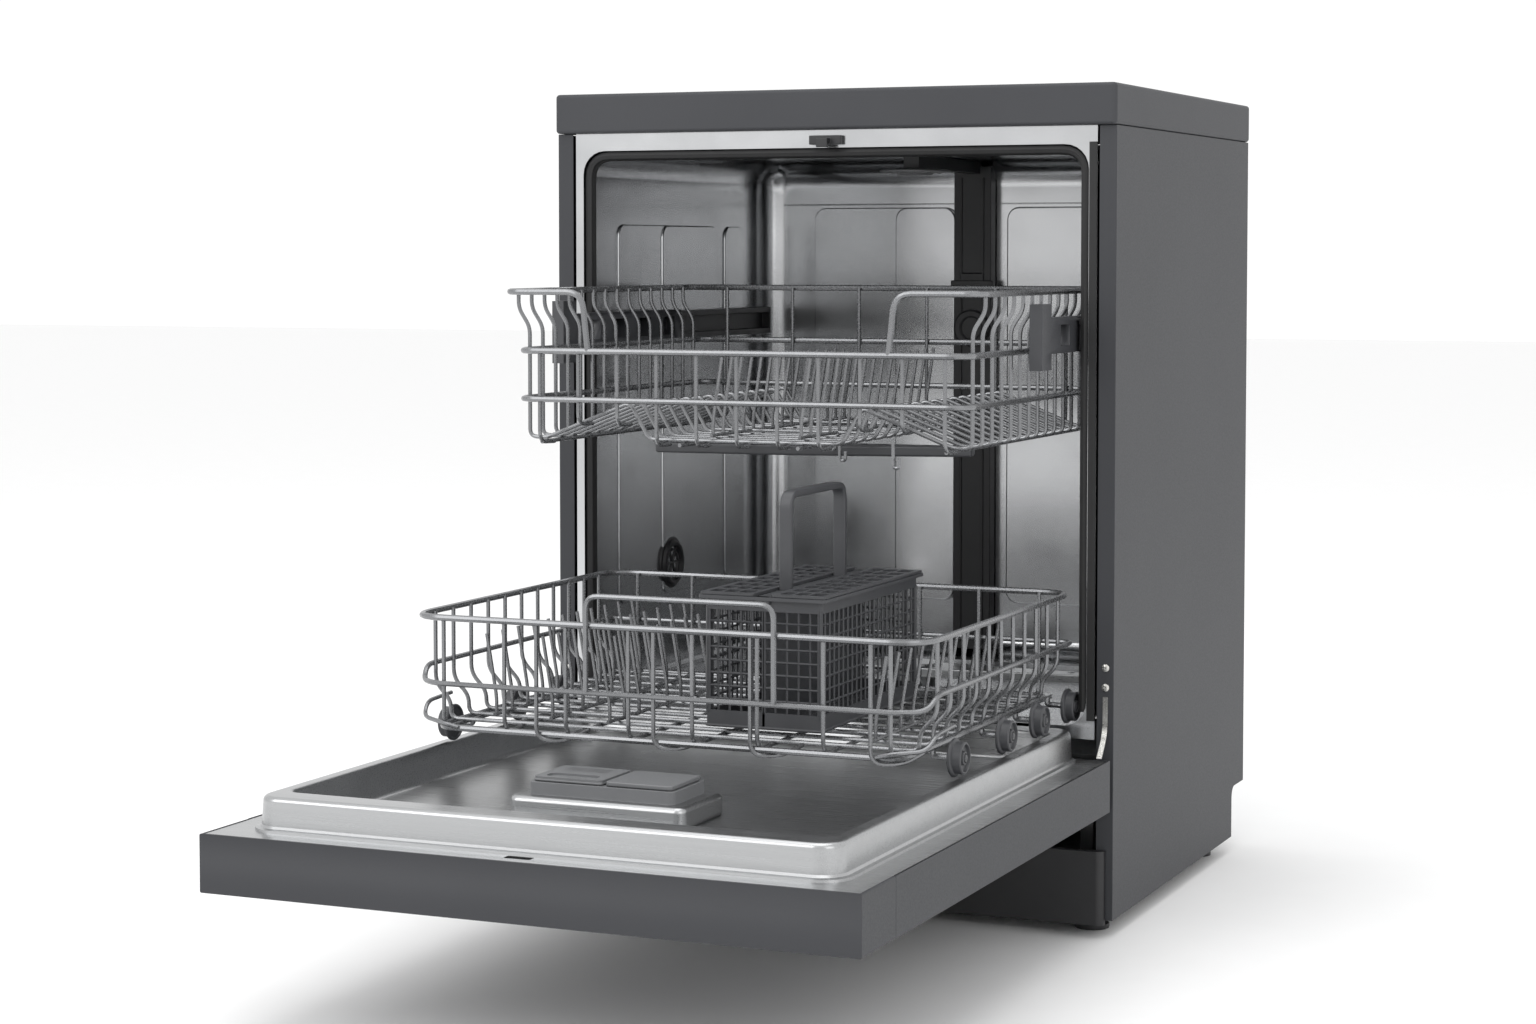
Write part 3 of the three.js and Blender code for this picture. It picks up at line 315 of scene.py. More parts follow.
# Black polypropylene, moulded against a finely eroded tool.
BLACK_PP = Finish(
    "black polypropylene, eroded", "#19191b", "#232325", 0.44, grain=0.9, relief=0.03, drift=26.0
)
# Dark grey polypropylene, the same surface a few tones up.
DARK_PP = Finish(
    "dark grey polypropylene, eroded", "#38393c", "#424346", 0.42, grain=0.9, relief=0.03,
    drift=26.0,
)
# Mid-grey polypropylene with a satin moulded skin.
GREY_PP = Finish(
    "grey polypropylene, satin", "#67686a", "#717274", 0.4, grain=1.0, relief=0.025, drift=30.0
)
# Smoked acrylic over a dark panel: deep black with a hard, clear highlight.
SMOKED_ACRYLIC = Finish(
    "smoked acrylic", "#08080a", "#101014", 0.08, grain=20.0, relief=0.01, drift=50.0, spread=0.02,
    coat=0.6,
)
# Die-cast aluminium, shot-blasted: an even pale grain.
CAST_ALUMINIUM = Finish(
    "shot-blasted cast aluminium", "#9a9c9e", "#acaeb0", 0.5, metallic=1.0, grain=1.3, relief=0.06,
    drift=30.0,
)
# Nickel-plated steel screws.
NICKEL = Finish(
    "nickel-plated steel", "#b9b8b4", "#c9c8c4", 0.24, metallic=1.0, grain=1.0, relief=0.008
)

SLOT_FINISH: dict[str, Finish] = {
    "worktop": LAMINATE,
    "painted_sheet": POWDER_COAT,
    "galvanised_sheet": GALVANISED,
    "black_plastic": BLACK_PP,
    "polished_steel": BRIGHT_STEEL,
    "brushed_steel": BRUSHED_X,
    "pump_housing": CAST_ALUMINIUM,
    "seal_rubber": RUBBER,
    "grey_plastic": GREY_PP,
    "dark_plastic": DARK_PP,
    "display_glass": SMOKED_ACRYLIC,
    "coated_wire": COATED_WIRE,
}


# ---------------------------------------------------------------- shapes


def along(axis: Axis) -> Matrix:
    """Gives the turn that takes +Z to an axis."""
    if axis is Axis.X:
        return Matrix.Rotation(math.pi / 2, 4, "Y")
    if axis is Axis.Y:
        return Matrix.Rotation(-math.pi / 2, 4, "X")
    return Matrix.Identity(4)


def spaced(first: float, last: float, count: int) -> list[float]:
    """Gives evenly spaced numbers from first to last."""
    return [first + (last - first) * i / (count - 1) for i in range(count)]


def pour(source: bmesh.types.BMesh, target: bmesh.types.BMesh) -> None:
    """Adds one mesh in the making to another and frees it.

    Args:
        source: The mesh that is used up.
        target: The mesh that takes it in.
    """
    carrier = bpy.data.meshes.new("carrier")
    source.to_mesh(carrier)
    source.free()
    target.from_mesh(carrier)
    bpy.data.meshes.remove(carrier)


class Shape:
    """A mesh in the making, in millimetres."""

    def __init__(self) -> None:
        """Starts with nothing."""
        self.bm = bmesh.new()

    @classmethod
    def of_node(cls, node: str) -> Shape:
        """Copies a CAD node's mesh, merges its loose triangles and joins its flat faces.

        Args:
            node: The CAD node's name.

        Returns:
            The copy, in millimetres.
        """
        shape = cls()
        shape.bm.from_mesh(frame["nodes"][node].data)
        bm = shape.bm
        bmesh.ops.transform(bm, matrix=TO_FRAME.inverted(), verts=bm.verts)
        bmesh.ops.remove_doubles(bm, verts=bm.verts, dist=0.02)
        bmesh.ops.dissolve_limit(
            bm, angle_limit=math.radians(1.0), verts=bm.verts, edges=bm.edges
        )
        return shape

    def merge(self, other: bmesh.types.BMesh) -> None:
        """Takes in another mesh and frees it."""
        bmesh.ops.recalc_face_normals(other, faces=other.faces)
        pour(other, self.bm)

    @staticmethod
    def ease(bm: bmesh.types.BMesh, edges: list, width: float, segments: int) -> None:
        """Rounds edges.

        Args:
            bm: The mesh.
            edges: The edges to round.
            width: How far the rounding reaches.
            segments: How many faces it gets.
        """
        if edges and width > 0:
            bmesh.ops.bevel(
                bm,
                geom=edges,
                offset=width,
                offset_type="OFFSET",
                segments=segments,
                profile=0.5,
                affect="EDGES",
                clamp_overlap=True,
                material=-1,
            )

    def block(
        self,
        lo: Point,
        hi: Point,
        edge: float = 0.0,
        corner: float = 0.0,
        axis: Axis = Axis.Z,
        segments: int = 2,
    ) -> Shape:
        """Adds a block, with corners rounded round one axis and then all edges eased.

        Args:
            lo: Its lowest corner.
            hi: Its highest corner.
            edge: Rounding of every edge.
            corner: Rounding of the four edges that run along the axis.
            axis: That axis.
            segments: Faces across an edge's rounding.

        Returns:
            This shape.
        """
        bm = bmesh.new()
        bmesh.ops.create_cube(bm, size=1.0)
        size = [max(h - l, 1e-4) for l, h in zip(lo, hi)]
        middle = [(h + l) / 2 for l, h in zip(lo, hi)]
        bmesh.ops.scale(bm, vec=size, verts=bm.verts)
        bmesh.ops.translate(bm, vec=middle, verts=bm.verts)
        if corner > 0:
            runs = [
                e for e in bm.edges
                if abs((e.verts[0].co - e.verts[1].co)[axis.value]) > size[axis.value] / 2
            ]
            self.ease(bm, runs, corner, max(3, segments + 2))
        if edge > 0:
            sharp = [e for e in bm.edges if e.calc_face_angle(0.0) > math.radians(40)]
            self.ease(bm, sharp, edge, segments)
        self.merge(bm)
        return self

    def rod(
        self, a: Point, b: Point, radius: float, edge: float = 0.0, sides: int = 32,
        tip: float | None = None,
    ) -> Shape:
        """Adds a round bar or a cone between two points.

        Args:
            a: The middle of its first end.
            b: The middle of its other end.
            radius: Its radius at the first end.
            edge: Rounding of both ends.
            sides: Faces round it.
            tip: Its radius at the other end, where that differs.

        Returns:
            This shape.
        """
        start, end = Vector(a), Vector(b)
        bm = bmesh.new()
        bmesh.ops.create_cone(
            bm,
            cap_ends=True,
            segments=sides,
            radius1=radius,
            radius2=radius if tip is None else tip,
            depth=(end - start).length,
        )
        if edge > 0:
            rims = [e for e in bm.edges if e.calc_face_angle(0.0) > math.radians(50)]
            self.ease(bm, rims, edge, 2)
        turn = (end - start).to_track_quat("Z", "Y").to_matrix().to_4x4()
        matrix = Matrix.Translation((start + end) / 2) @ turn
        bmesh.ops.transform(bm, matrix=matrix, verts=bm.verts)
        self.merge(bm)
        return self

    def turned(self, profile: Sequence[Point], centre: Point, axis: Axis, steps: int = 40) -> Shape:
        """Adds a body turned from a half outline.

        Args:
            profile: Radius and height of each point of the outline; a closed body starts and
                ends on the axis, and a ring repeats its first point.
            centre: The foot of the axis.
            axis: The direction that heights run in.
            steps: Faces round it.

        Returns:
            This shape.
        """
        bm = bmesh.new()
        verts = [bm.verts.new((radius, 0.0, height)) for radius, height in profile]
        edges = [bm.edges.new(pair) for pair in zip(verts, verts[1:])]
        bmesh.ops.spin(
            bm,
            geom=verts + edges,
            cent=(0, 0, 0),
            axis=(0, 0, 1),
            angle=math.tau,
            steps=steps,
            use_merge=True,
        )
        bmesh.ops.remove_doubles(bm, verts=bm.verts, dist=0.001)
        bmesh.ops.transform(bm, matrix=Matrix.Translation(centre) @ along(axis), verts=bm.verts)
        self.merge(bm)
        return self

    def lattice(
        self, corner: Point, across: Point, up: Point, cells: tuple[int, int], bar: float
    ) -> Shape:
        """Adds a flat grid of square bars.

        Args:
            corner: One corner of the grid.
            across: Its first side, as a vector.
            up: Its second side.
            cells: How many openings along each side.
            bar: Thickness of the bars.

        Returns:
            This shape.
        """
        bm = bmesh.new()
        bmesh.ops.create_grid(bm, x_segments=cells[0], y_segments=cells[1], size=0.5)
        first, second = Vector(across), Vector(up)
        normal = first.cross(second).normalized()
        basis = Matrix((first, second, normal)).transposed().to_4x4()
        middle = Vector(corner) + (first + second) / 2
        bmesh.ops.transform(bm, matrix=Matrix.Translation(middle) @ basis, verts=bm.verts)
        bmesh.ops.wireframe(
            bm,
            faces=bm.faces[:],
            thickness=bar,
            use_replace=True,
            use_boundary=True,
            use_even_offset=True,
        )
        self.merge(bm)
        return self

    @staticmethod
    def ring(
        bm: bmesh.types.BMesh, span: Point, level: float, radii: Point, axis: Axis = Axis.Z,
        segments: int = 6,
    ) -> list[bmesh.types.BMEdge]:
        """Draws a closed rounded rectangle, square to an axis.

        Args:
            bm: The mesh.
            span: Lowest and highest first coordinate, then the second's.
            level: Its place along the axis.
            radii: Corner radius at the low second coordinate, then at the high one.
            axis: Z for a level ring in X and Y, or Y for an upright one in X and Z.
            segments: Edges round a corner.

        Returns:
            The ring's edges.
        """
        own = bmesh.new()
        bmesh.ops.create_grid(own, x_segments=1, y_segments=1, size=0.5)
        x0, x1, y0, y1 = span
        bmesh.ops.scale(own, vec=(x1 - x0, y1 - y0, 1), verts=own.verts)
        bmesh.ops.translate(own, vec=((x0 + x1) / 2, (y0 + y1) / 2, 0), verts=own.verts)
        low = [v for v in own.verts if v.co.y < (y0 + y1) / 2]
        high = [v for v in own.verts if v.co.y > (y0 + y1) / 2]
        for corner, radius in ((low, radii[0]), (high, radii[1])):
            bmesh.ops.bevel(
                own, geom=corner, offset=max(radius, 0.01), offset_type="OFFSET",
                segments=segments, profile=0.5, affect="VERTICES", clamp_overlap=True, material=-1,
            )
        bmesh.ops.delete(own, geom=own.faces[:], context="FACES_ONLY")
        if axis is Axis.Y:
            upright = Matrix(((1, 0, 0, 0), (0, 0, 1, level), (0, 1, 0, 0), (0, 0, 0, 1)))
            bmesh.ops.transform(own, matrix=upright, verts=own.verts)
        else:
            bmesh.ops.translate(own, vec=(0, 0, level), verts=own.verts)
        before = len(bm.edges)
        pour(own, bm)
        bm.edges.ensure_lookup_table()
        return bm.edges[before:]

    @staticmethod
    def bridge(bm: bmesh.types.BMesh, rings: Sequence[list]) -> None:
        """Joins each ring to the next with a band of faces."""
        for one, other in zip(rings, rings[1:]):
            bmesh.ops.bridge_loops(bm, edges=list(one) + list(other))

    def sheet(
        self, edge: Point, holes: Sequence[tuple[Point, float]], low: float, high: float,
        axis: Axis = Axis.Z, corner: float = 0.5,
    ) -> Shape:
        """Adds a flat sheet with rounded openings in it.

        Args:
            edge: The sheet's own span, as for ring().
            holes: Each opening's span and its corner radius.
            low: The level of its first face.
            high: The level of its other face.
            axis: As for ring().
            corner: The sheet's own corner radius.

        Returns:
            This shape.
        """
        bm = bmesh.new()
        self.ring(bm, edge, low, (corner, corner), axis)
        for span, radius in holes:
            self.ring(bm, span, low, (radius, radius), axis)
        edges = bm.edges[:]
        filled = bmesh.ops.triangle_fill(bm, use_beauty=True, use_dissolve=True, edges=edges)
        faces = [g for g in filled["geom"] if isinstance(g, bmesh.types.BMFace)]
        moved = bmesh.ops.extrude_face_region(bm, geom=faces)["geom"]
        step = (0, high - low, 0) if axis is Axis.Y else (0, 0, high - low)
        bmesh.ops.translate(
            bm, vec=step, verts=[g for g in moved if isinstance(g, bmesh.types.BMVert)]
        )
        self.merge(bm)
        return self

    def soften(self, width: float, segments: int = 2, angle: float = 30.0) -> Shape:
        """Rounds every edge that is sharper than an angle.

        Args:
            width: How far the rounding reaches.
            segments: Faces across it.
            angle: The angle in degrees.

        Returns:
            This shape.
        """
        sharp = [e for e in self.bm.edges if e.calc_face_angle(0.0) > math.radians(angle)]
        self.ease(self.bm, sharp, width, segments)
        return self

    def piece(self, name: str, finish: Finish) -> bpy.types.Object:
        """Makes the finished object, in the frame's metres.

        Args:
            name: The object's name.
            finish: Its finish.

        Returns:
            The object, at the origin.
        """
        bmesh.ops.transform(self.bm, matrix=TO_FRAME, verts=self.bm.verts)
        mesh = bpy.data.meshes.new(name)
        self.bm.to_mesh(mesh)
        self.bm.free()
        return shown(name, mesh, finish)


def shown(name: str, mesh: bpy.types.Mesh, finish: Finish) -> bpy.types.Object:
    """Puts a mesh in the scene.

    Args:
        name: The object's name.
        mesh: Its mesh, in metres.
        finish: Its finish.

    Returns:
        The object.
    """
    mesh.materials.clear()
    mesh.materials.append(finish.material())
    mesh.shade_smooth()
    mesh.set_sharp_from_angle(angle=SMOOTH_ANGLE)
    made = bpy.data.objects.new(name, mesh)
    bpy.context.scene.collection.objects.link(made)
    # Large flat faces keep their own normals beside narrow rounded edges.
    made.modifiers.new("flat_faces", "WEIGHTED_NORMAL").keep_sharp = True
    return made


def stands_for(piece: bpy.types.Object, *nodes: str) -> bpy.types.Object:
    """Lets a piece take the place of CAD nodes on their body.

    Args:
        piece: The new piece.
        nodes: The nodes that it replaces, all on one body.

    Returns:
        The piece.
    """
    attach(piece, BODY_OF[nodes[0]])
    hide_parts(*nodes)
    log.info("%s stands for %s", piece.name, ", ".join(nodes))
    return piece


def fixed_to(piece: bpy.types.Object, body: str) -> bpy.types.Object:
    """Lets an added piece ride on a body.

    Args:
        piece: The new piece.
        body: The body.

    Returns:
        The piece.
    """
    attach(piece, body)
    log.info("%s rides on %s", piece.name, body)
    return piece


def softened(node: str, width: float, finish: Finish | None = None, segments: int = 2) -> None:
    """Replaces a CAD node with the same shape, its sharp edges rounded.

    Args:
        node: The CAD node.
        width: The rounding.
        finish: Its finish, where it isn't its slot's.
        segments: Faces across the rounding.
    """
    look = finish or SLOT_FINISH[SLOT_OF[node]]
    piece = Shape.of_node(node).soften(width, segments).piece(node + "_shell", look)
    stands_for(piece, node)


# ---------------------------------------------------------------- wires


def bent(
    path: Sequence[Point], radius: float, closed: bool = False, steps: int = 5
) -> list[Vector]:
    """Rounds the bends of a wire's path.

    Args:
        path: The path's corners.
        radius: How far each bend reaches from its corner.
        closed: Whether the last point joins the first.
        steps: Points along a bend, less one.

    Returns:
        The rounded path.
    """
    corners = [Vector(p) for p in path]
    count = len(corners)
    smooth: list[Vector] = []
    for i, here in enumerate(corners):
        if not closed and i in (0, count - 1):
            smooth.append(here)
            continue
        before, after = corners[i - 1], corners[(i + 1) % count]
        reach = min(radius, (here - before).length * 0.49, (after - here).length * 0.49)
        start = here + (before - here).normalized() * reach
        end = here + (after - here).normalized() * reach
        for k in range(steps + 1):
            t = k / steps
            smooth.append((1 - t) ** 2 * start + 2 * t * (1 - t) * here + t**2 * end)
    return smooth


def ribbon(
    path: Sequence[Vector], first: float, width: float, thickness: float
) -> bmesh.types.BMesh:
    """Makes a flat band that follows a path in Y and Z.

    Args:
        path: The path's points.
        first: The x of the band's left edge.
        width: Its width along X.
        thickness: How thick it is.

    Returns:
        The band's mesh.
    """
    bm = bmesh.new()
    verts = [bm.verts.new(p) for p in path]
    for one, other in zip(verts, verts[1:]):
        bm.edges.new((one, other))
    swept = bmesh.ops.extrude_edge_only(bm, edges=bm.edges[:])["geom"]
    moved = [g for g in swept if isinstance(g, bmesh.types.BMVert)]
    bmesh.ops.translate(bm, vec=(width, 0, 0), verts=moved)
    bmesh.ops.translate(bm, vec=(first, 0, 0), verts=bm.verts)
    bmesh.ops.recalc_face_normals(bm, faces=bm.faces)
    bmesh.ops.solidify(bm, geom=bm.faces[:], thickness=thickness)
    return bm


class WireWork:
    """Bent wires that are welded into one piece."""

    def __init__(self, name: str) -> None:
        """Starts an empty piece.

        Args:
            name: The piece's name.
        """
        self.name = name
        self.curve = bpy.data.curves.new(name + "_path", "CURVE")
        self.curve.dimensions = "3D"
        self.curve.bevel_depth = MM
        self.curve.bevel_resolution = 2
        self.curve.use_fill_caps = True

    def wire(
        self, path: Sequence[Point], thickness: float, radius: float = 8.0, closed: bool = False
    ) -> None:
        """Adds one bent wire.

        Args:
            path: The corners of its middle line.
            thickness: Its diameter.
            radius: Reach of each bend.
            closed: Whether it is a closed loop.
        """
        points = bent(path, radius, closed)
        spline = self.curve.splines.new("POLY")
        spline.points.add(len(points) - 1)
        for target, point in zip(spline.points, points):
            target.co = (*(TO_FRAME @ point), 1.0)
            target.radius = thickness / 2
        spline.use_cyclic_u = closed

    def piece(self, finish: Finish) -> bpy.types.Object:
        """Turns the wires into a mesh piece.

        Args:
            finish: The wires' finish.

        Returns:
            The object.
        """
        carrier = bpy.data.objects.new(self.name + "_path", self.curve)
        bpy.context.scene.collection.objects.link(carrier)
        bpy.context.view_layer.update()
        graph = bpy.context.evaluated_depsgraph_get()
        mesh = bpy.data.meshes.new_from_object(carrier.evaluated_get(graph))
        mesh.name = self.name
        bpy.data.objects.remove(carrier)
        bpy.data.curves.remove(self.curve)
        return shown(self.name, mesh, finish)


# ---------------------------------------------------------------- cabinet


@dataclass
class Cabinet:
    """The outside of the machine: lid, side and rear panels, plinth, tray and feet."""

    half: float = 299.0
    height: float = 822.0
    depth: float = 505.0
    lid: float = 40.0
    overhang: float = 6.0
    flange_x: float = 290.0
    screw_heights: tuple[float, ...] = (262.0, 243.0)
    rear_screws: tuple[float, ...] = (110.0, 330.0, 550.0, 760.0)

    def build(self) -> None:
        """Builds every part of the outside."""
        self.worktop()
        for side in ("left", "right"):
            softened(f"side_panel_{side}", 0.9)
            softened(f"hinge_bracket_{side}", 0.8)
        softened("rear_panel", 0.15)
        softened("plinth", 1.5, segments=3)
        softened("base_tray", 1.0)
        for foot in ("front_left", "front_right", "rear_left", "rear_right"):
            softened(f"foot_{foot}", 0.8)
        self.screws()

    def worktop(self) -> None:
        """Builds the lid: a laminated board with rounded edges."""
        shape = Shape().block(
            (-self.half, -self.overhang, self.height - self.lid),
            (self.half, self.depth, self.height),
            edge=3.6, corner=5.0, segments=4,
        )
        stands_for(shape.piece("worktop_board", LAMINATE), "top_panel")

    def screws(self) -> None:
        """Builds the screws and the hinge covers on the front flanges, and the rear screws."""
        shape = Shape()
        for side in (-1, 1):
            for z in self.screw_heights:
                self.screw(shape, (side * self.flange_x, 0.0, z), -1)
            for z in self.rear_screws:
                self.screw(shape, (side * (self.half - 11), self.depth - 2.0, z), 1)
        for side in (-1, 1):
            self.hinge_cover(shape, side)
        fixed_to(shape.piece("panel_screws", NICKEL), "cabinet")

    def hinge_cover(self, shape: Shape, side: int) -> None:
        """Adds the sprung strip that curves from a front flange down over the hinge.

        Args:
            shape: The piece that it belongs to.
            side: Which side of the machine it is on.
        """
        path = bent([(0, -0.9, 234), (0, -1.4, 198), (0, -21, 177.6)], 16.0, steps=8)
        shape.merge(ribbon(path, side * self.flange_x - 2.5, 5.0, 0.7))

    @staticmethod
    def screw(shape: Shape, at: Point, way: int) -> None:
        """Adds one pan-head screw.

        Args:
            shape: The piece that it belongs to.
            at: The middle of its seat.
            way: Which way along Y it stands proud.
        """
        x, y, z = at
        profile = [(0, 1.6), (1.0, 1.6), (1.3, 1.9), (2.6, 1.7), (3.7, 1.0), (4.0, 0.0), (0, 0)]
        turned = [(r, way * h) for r, h in profile]
        shape.turned(turned, (x, y, z), Axis.Y, steps=20)


# ---------------------------------------------------------------- tub


@dataclass
class Tub:
    """The steel tub with its seal, duct, rails and water parts."""

    half: float = 270.0
    front: float = 1.6
    back: float = 470.0
    floor: float = 203.5
    top: float = 764.0
    corner: float = 26.0
    low_corner: float = 8.0
    back_corner: float = 30.0
    flange_half: float = 278.5
    flange_low: float = 191.5
    flange_top: float = 781.6
    basin_depth: float = 23.0
    press: float = 2.2
    panel_top: float = 712.0
    panel_foot: float = 262.0
    rear_panels: tuple[tuple[float, float], ...] = ((-206, -30), (-105, -32), (30, 112), (30, 206))
    side_panels: tuple[tuple[float, float], ...] = ((79, 330), (183, 328), (352, 404))
    sump_place: tuple[float, float] = (62.0, 150.0)
    salt_place: tuple[float, float] = (-138.0, 150.0)
    duct_x: float = -6.0
    arm_y: float = 254.0
    vent: tuple[float, float] = (205.0, 321.5)
    port_z: float = 575.0
    nozzles: tuple[float, ...] = (-170, -140, -104, -66, 62, 98, 134, 174)
    lip_inset: float = 4.6
    lip_thickness: float = 9.4
    step_inset: float = 7.6
    step_thickness: float = 4.6
    duct_front: float = 451.0

    def build(self) -> None:
        """Builds the tub and all that is fixed in it."""
        self.shell()
        self.seal()
        softened("latch_keeper", 0.8)
        self.duct()
        self.sprinkler()
        self.vent_cap()
        for side in ("left", "right"):
            softened(f"upper_rail_{side}", 0.8)
        self.water_parts()

    def shell(self) -> None:
        """Builds the pressed shell, its flange and the panels pressed into its walls."""
        bm = bmesh.new()
        span = (-self.half, self.half, self.floor, self.top)
        r = self.back_corner
        levels = [(self.front, 0.0)]
        for k in range(7):
            a = math.pi / 2 * k / 6
            levels.append((self.back - r + r * math.sin(a), r * (1 - math.cos(a))))
        for y, shrink in levels:
            Shape.ring(
                bm,
                (span[0] + shrink, span[1] - shrink, span[2] + shrink * 0.6, span[3] - shrink),
                y,
                (max(self.low_corner - shrink * 0.2, 2), max(self.corner - shrink * 0.5, 6)),
                Axis.Y,
            )
        self.join(bm, len(levels))
        shape = Shape()
        self.basin(bm)
        bmesh.ops.recalc_face_normals(bm, faces=bm.faces)
        bmesh.ops.reverse_faces(bm, faces=bm.faces)
        pour(bm, shape.bm)
        shape.sheet(
            (-self.flange_half, self.flange_half, self.flange_low, self.flange_top),
            [((-self.half, self.half, self.floor, self.top), 24.0)],
            self.front,
            self.front + 1.2,
            Axis.Y,
        )
        self.pressings(shape)
        piece = shape.piece("tub_shell", BRIGHT_STEEL)
        stands_for(piece, "tub")

    def join(self, bm: bmesh.types.BMesh, count: int) -> None:
        """Bridges the rings of the shell and closes its back.

        Args:
            bm: The mesh that holds only the rings, in order.
            count: How many rings there are.
        """
        bm.edges.ensure_lookup_table()
        each = len(bm.edges) // count
        rings = [bm.edges[i * each : (i + 1) * each] for i in range(count)]
        last = rings[-1]
        Shape.bridge(bm, rings)
        bmesh.ops.contextual_create(bm, geom=[e for e in last if e.is_valid])

    def basin(self, bm: bmesh.types.BMesh) -> None:
        """Sinks the basin into the floor, with holes for the sump and the salt cap.

        Args:
            bm: The shell's mesh.
        """
        floor = max(
            (
                f for f in bm.faces
                if abs(f.normal.z) > 0.9 and f.calc_center_median().z < self.floor + 1
            ),
            key=lambda f: f.calc_area(),
        )
        bmesh.ops.inset_region(bm, faces=[floor], thickness=37.0, use_even_offset=True)
        low = bmesh.ops.extrude_face_region(bm, geom=[floor])["geom"]
        verts = [g for g in low if isinstance(g, bmesh.types.BMVert)]
        bmesh.ops.delete(bm, geom=[floor], context="FACES_ONLY")
        bmesh.ops.translate(bm, vec=(0, 0, -self.basin_depth), verts=verts)
        plate = [g for g in low if isinstance(g, bmesh.types.BMFace)][0]
        rim = list(plate.edges)
        bmesh.ops.delete(bm, geom=[plate], context="FACES_ONLY")
        level = self.floor - self.basin_depth
        for (x, y), radius in ((self.sump_place, 46.0), (self.salt_place, 30.0)):
            circle = bmesh.ops.create_circle(
                bm, cap_ends=False, radius=radius, segments=32,
                matrix=Matrix.Translation((x, y, level)),
            )
            rim += list({e for v in circle["verts"] for e in v.link_edges})
        bmesh.ops.triangle_fill(bm, use_beauty=True, use_dissolve=True, edges=rim)

    def pressings(self, shape: Shape) -> None:
        """Presses flat panels into the rear and side walls, and a seam across the rear.

        Args:
            shape: The shell.
        """
        for i, (x0, x1) in enumerate(self.rear_panels):
            proud = self.press * (1 + 0.8 * (i % 2))
            shape.block(
                (x0, self.back - proud, self.panel_foot), (x1, self.back + 0.5, self.panel_top),
                edge=1.9, corner=14.0, axis=Axis.Y, segments=3,
            )
        for side in (-1, 1):
            for i, (y0, y1) in enumerate(self.side_panels):
                proud = self.press * (1 + 0.8 * (i % 2))
                inner, outer = side * (self.half - proud), side * (self.half + 0.5)
                shape.block(
                    (min(inner, outer), y0, self.panel_foot + 26),
                    (max(inner, outer), y1, self.panel_top - 22),
                    edge=1.9, corner=14.0, axis=Axis.X, segments=3,
                )
        shape.block(
            (-self.half + 24, self.back - 0.9, self.panel_top + 3),
            (self.half - 24, self.back + 0.5, self.panel_top + 4.6),
            edge=0.6,
        )

    def seal(self) -> None:
        """Builds the seal's lip and foot, up both sides and across the top, and a black strip of
        painted shade on the right of the flange.
        """
        work = WireWork("door_seal_lip")
        inner, head = self.half - self.lip_inset, self.top - self.lip_inset
        foot = self.floor + 14
        path = [(-inner, 7.4, foot), (-inner, 7.4, head), (inner, 7.4, head), (inner, 7.4, foot)]
        work.wire(path, self.lip_thickness, radius=24.0)
        step, head = self.half - self.step_inset, self.top - self.step_inset
        path = [(-step, 10.6, foot), (-step, 10.6, head), (step, 10.6, head), (step, 10.6, foot)]
        work.wire(path, self.step_thickness, radius=22.0)
        stands_for(work.piece(RUBBER), "door_seal")
        # Painted shade: a black strip down the right side of the tub's flange, where the flange
        # lies in shadow.
        strip = Shape()
        face = self.front - 0.05
        x = self.half + 4.4
        strip.block((x - 3.9, face - 0.9, foot - 8), (x + 3.9, face, self.top + 2), edge=0.4)
        fixed_to(strip.piece("flange_painted_shade", RUBBER), "cabinet")

    def duct(self) -> None:
        """Builds the duct with its ribs, clip and docking port."""
        shape = Shape.of_node("water_duct").soften(2.2, 3)
        x, front = self.duct_x, self.duct_front
        for dx in (-13.0, 13.0):
            shape.block((x + dx - 1.2, front - 1.6, 216), (x + dx + 1.2, front + 1, 745), edge=0.6)
        shape.block((x - 25, front - 3, 617), (x + 25, front + 6, 629), edge=1.2)
        shape.turned(
            [(12, 0), (12, -1.2), (14, -2.4), (19, -2.4), (21, -1), (21, 2), (12, 2), (12, 0)],
            (x, front - 2, self.port_z), Axis.Y,
        )
        stands_for(shape.piece("rear_duct", BLACK_PP), "water_duct")

    def sprinkler(self) -> None:
        """Builds the ceiling sprinkler: a dished plate with a ring of holes."""
        x, y, top = self.duct_x, self.arm_y + 12, 749.2
        shape = Shape().turned(
            [(0, 0), (34, 0), (38, -1.2), (38, -2.6), (33, -3.4), (20, -4.2), (18, -6), (0, -6.4)],
            (x, y, top), Axis.Z,
        )
        for i in range(10):
            a = math.tau * i / 10
            shape.rod(
                (x + 27 * math.cos(a), y + 27 * math.sin(a), top - 4.6),
                (x + 27 * math.cos(a), y + 27 * math.sin(a), top - 3),
                2.2, edge=0.4, sides=12,
            )
        stands_for(shape.piece("ceiling_rose", GREY_PP), "ceiling_sprinkler")

    def vent_cap(self) -> None:
        """Builds the vent on the left wall: stepped rings round a ribbed grille."""
        y, z = self.vent
        wall = -self.half + 0.4
        shape = Shape().turned(
            [(0, 2.4), (12, 2.4), (13, 5.0), (15, 5.0), (16, 2.4), (18.5, 2.4), (19.5, 7.6),
             (22, 8), (24, 7), (25, 4), (28, 3.6), (29, 2.4), (29, 0), (0, 0)],
            (wall, y, z), Axis.X, steps=48,
        )
        for i in range(6):
            a = math.tau * i / 6
            shape.rod(
                (wall + 4, y, z),
                (wall + 4, y + 20 * math.cos(a), z + 20 * math.sin(a)),
                1.3, sides=8,
            )
        stands_for(shape.piece("vent_grille", BLACK_PP), "vent_cap")

